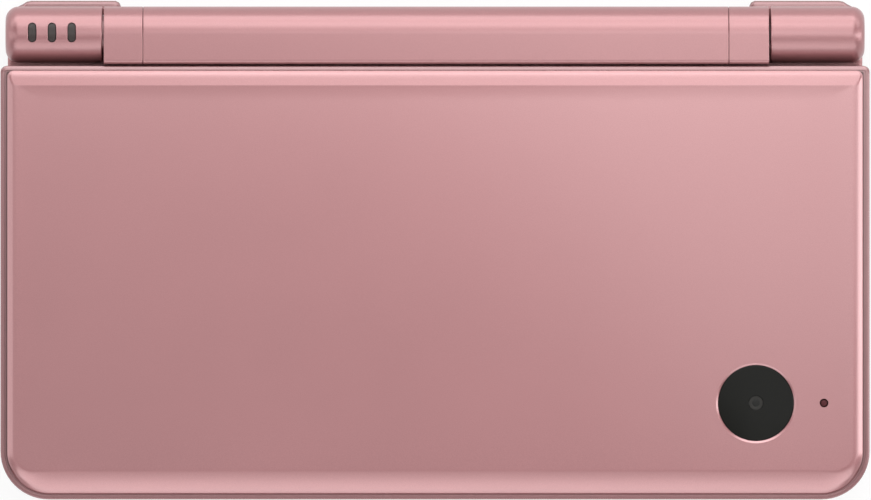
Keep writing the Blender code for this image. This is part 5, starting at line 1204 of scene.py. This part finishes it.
def makeCardCover():
    y, z, outer = cardCover["y"], cardCover["z"], base["halfWidth"]
    door = opening((y, z), cardCover["width"], cardCover["height"], cardCover["corner"], outer - cardCover["thick"],
                   outer, 0.0, cardCover["round"], shaper=rounded, axis="X")
    dent = pill((y - cardCover["width"] / 2 + 2.6, z), 2.2, 2.2)  # a fingernail dent at the free end
    cut(door, prism(dent, outer - 0.3, outer + beyond, "X"))
    finished(door, "memoryCardDoor", caseSatin, "memory_card_cover", ["memory_card_cover"])


def makeStylus():
    head, radius = base["halfWidth"], stylus["radius"]
    tail = head - stylus["length"]
    profile = [(tail + along, thick) for along, thick in stylus["tip"]] + [(tail + 8, radius)]
    for start in stylus["rings"]:
        profile += [(tail + start + along, radius - depth) for along, depth in stylus["ring"]]
    profile += [(head - along, radius - depth) for along, depth in stylus["head"]]
    pen = turned((stylus["y"], stylus["z"]), profile, 40, "X")
    finished(pen, "stylusPen", buttonRose, "stylus", ["stylus"], 25)


makePad()
for buttonName, buttonPlace in facePlaces().items():
    roundButton("faceButton" + buttonName.capitalize(), buttonPlace, faceButtons["radius"], faceButtons["top"],
                "face_button_" + buttonName)
for buttonName, (buttonPlace, buttonRadius) in smallButtons.items():
    roundButton(buttonName + "ButtonCap", buttonPlace, buttonRadius, smallButtonTop, buttonName + "_button")
makeShoulder(1, "right")
makeShoulder(-1, "left")
makeRocker()
makeCardCover()
makeStylus()
print("controls made")


# screens and what stays from the frame

panes = {"lowerTop": 11.45, "upperLow": 13.35, "thick": 1.0, "round": 0.12}
# contacts at the back of the game card socket, and on the charging socket's tongue
contacts = {
    "gameCardContacts": {"Count": 17, "Start": (-14.4, 14.0, 3.0), "Step": (1.8, 0.0, 0.0),
                         "Bar_size": (0.9, 7.0, 0.5)},
    "chargingContacts": {"Count": 6, "Start": (35.5, 37.6, 5.15), "Step": (1.0, 0.0, 0.0),
                         "Bar_size": (0.5, 5.0, 0.12)},
}


def makeScreens():
    def pane(inset):
        return screenOutline(fit + inset)

    top, low, thick, edge = (panes[key] for key in ("lowerTop", "upperLow", "thick", "round"))
    lower = rounded(pane, top - thick, top, 0.0, edge)
    finished(lower, "touchScreenGlass", displayGlass, "base", ["touch_screen"])
    upper = rounded(pane, low, low + thick, edge, 0.0)
    finished(upper, "upperScreenGlass", displayGlass, "lid", ["upper_screen_window"])


makeScreens()
for rowName, rowValues in contacts.items():
    finished(runTree(barRow, [], Material=gold, **rowValues), rowName, gold, "base")
keptMaterials = {
    "battery_pack": batteryWrap, "main_board": boardGreen, "lower_display_panel": panelFrame,
    "upper_display_panel": panelFrame, "hinge_click_unit": darkSteel, "hinge_shaft": darkSteel,
    "display_cable": cableAmber, "face_button_rubber": rubberGrey, "direction_pad_rubber": rubberGrey,
    "game_card_socket": steel, "memory_card_socket": steel, "headphone_socket": blackPlastic,
    "charging_socket": blackPlastic, "outer_camera_module": blackPlastic, "microphone": steel,
    "left_speaker": dustMesh, "right_speaker": dustMesh,
}
for nodeName, keptMaterial in keptMaterials.items():
    cadNodes[nodeName].data.materials.clear()
    cadNodes[nodeName].data.materials.append(keptMaterial)
print("screens and inner parts made")

# camera, floor and light

view = {"lens": 850.0, "sensor": 36.0, "place": (0.00008, -0.00003, 3.828), "nearest": 0.01, "farthest": 50.0}
# place, size and radiance of each lamp
lamps = {
    "rearHigh": ((0.0, 0.778, 0.778), (1.3, 0.28), 1.31),
    "rearSoftbox": ((0.0, 0.953, 0.55), (1.3, 0.28), 2.25),
    "rearLow": ((0.0, 1.063, 0.285), (1.3, 0.28), 2.94),
    "rearLeft": ((-0.76, 0.64, 0.3), (0.5, 0.5), 1.4),
    "rearRight": ((0.76, 0.64, 0.3), (0.5, 0.5), 1.6),
    "rightSoftbox": ((0.901, 0.0, 0.631), (0.28, 1.8), 2.6),
    "rightLow": ((1.063, 0.0, 0.285), (0.28, 1.8), 1.4),
    "leftHigh": ((-0.376, 0.0, 1.034), (0.25, 0.9), 0.64),
    "leftLow": ((-0.997, 0.0, 0.465), (0.5, 1.8), 1.05),
    "frontTop": ((0.0, -0.34, 1.046), (1.2, 0.25), 0.52),
    "frontHigh": ((0.0, -0.55, 0.953), (1.2, 0.25), 1.19),
    "frontSoftbox": ((0.0, -0.736, 0.817), (1.6, 0.25), 1.6),
    "frontLow": ((0.0, -0.901, 0.631), (1.7, 0.25), 2.1),
    "cornerKey": ((0.07, 0.05, 0.35), (0.16, 0.12), 1.3),
    "rearKey": ((0.05, 0.28, 0.36), (0.35, 0.2), 2.15),
    "overLid": ((0.0, 0.09, 0.3), (0.26, 0.1), 1.6),
}
lampAim = (0.0, 0.0, 0.02)
room = {"overhead": 0.12, "horizon": 0.7}
paleFloor = {"half": 9000, "thick": 20, "colour": (0.86, 0.86, 0.86), "roughness": 0.9, "glow": 0.85}


def makeCamera():
    data = bpy.data.cameras.new("view")
    data.lens = view["lens"]
    data.sensor_width = view["sensor"]
    data.clip_start = view["nearest"]
    data.clip_end = view["farthest"]
    viewer = linked(data, "view")
    viewer.location = view["place"]
    bpy.context.scene.camera = viewer


def makeLamp(name, place, size, radiance):
    data = bpy.data.lights.new(name, "AREA")
    data.shape = "RECTANGLE"
    data.size, data.size_y = size
    data.energy = radiance * size[0] * size[1] * math.pi
    lamp = linked(data, name)
    lamp.location = place
    lamp.rotation_euler = (Vector(place) - Vector(lampAim)).to_track_quat("Z", "Y").to_euler()
    lamp.visible_camera = False


def backgroundFactor(tree):
    # 1 for rays that see the background: the camera's, and those in gloss and glass
    path = addNode(tree, "ShaderNodeLightPath")
    seen = mathOf(tree, "MAXIMUM", path.outputs["Is Camera Ray"], path.outputs["Is Glossy Ray"])
    return mathOf(tree, "MAXIMUM", seen, path.outputs["Is Transmission Ray"])


def makeFloor():
    half = paleFloor["half"]
    floor = box((-half, half), (-half, half), (-paleFloor["thick"], 0))
    floor.name = "floor"
    floor.data.transform(Matrix.Scale(metresPerMillimetre, 4))
    material, tree, shader, _ = newMaterial("paleFloor", paleFloor["colour"], 0.0, paleFloor["roughness"])
    glow = addNode(tree, "ShaderNodeEmission", Strength=1.0)
    factor = mathOf(tree, "MULTIPLY", backgroundFactor(tree), paleFloor["glow"])
    mix = addNode(tree, "ShaderNodeMixShader", Fac=factor)
    tree.links.new(shader.outputs[0], mix.inputs[1])
    tree.links.new(glow.outputs[0], mix.inputs[2])
    feed(tree, tree.nodes["Material Output"], Surface=mix.outputs[0])
    floor.data.materials.append(material)


def makeWorld():
    # a pale room, brighter towards the horizon than overhead
    world = bpy.data.worlds.new("studio")
    bpy.context.scene.world = world
    world.use_nodes = True
    tree = world.node_tree
    coords = addNode(tree, "ShaderNodeTexCoord")
    split = addNode(tree, "ShaderNodeSeparateXYZ", Vector=coords.outputs["Generated"])
    strength = ranged(tree, split.outputs["Z"], room["horizon"], room["overhead"], 0.0, 1.0)
    feed(tree, tree.nodes["Background"], Strength=strength, Color=(1, 1, 1, 1))


makeCamera()
for lampName, lampValues in lamps.items():
    makeLamp(lampName, *lampValues)
makeFloor()
makeWorld()
bpy.context.scene.view_settings.view_transform = "Standard"
print("camera and light made")
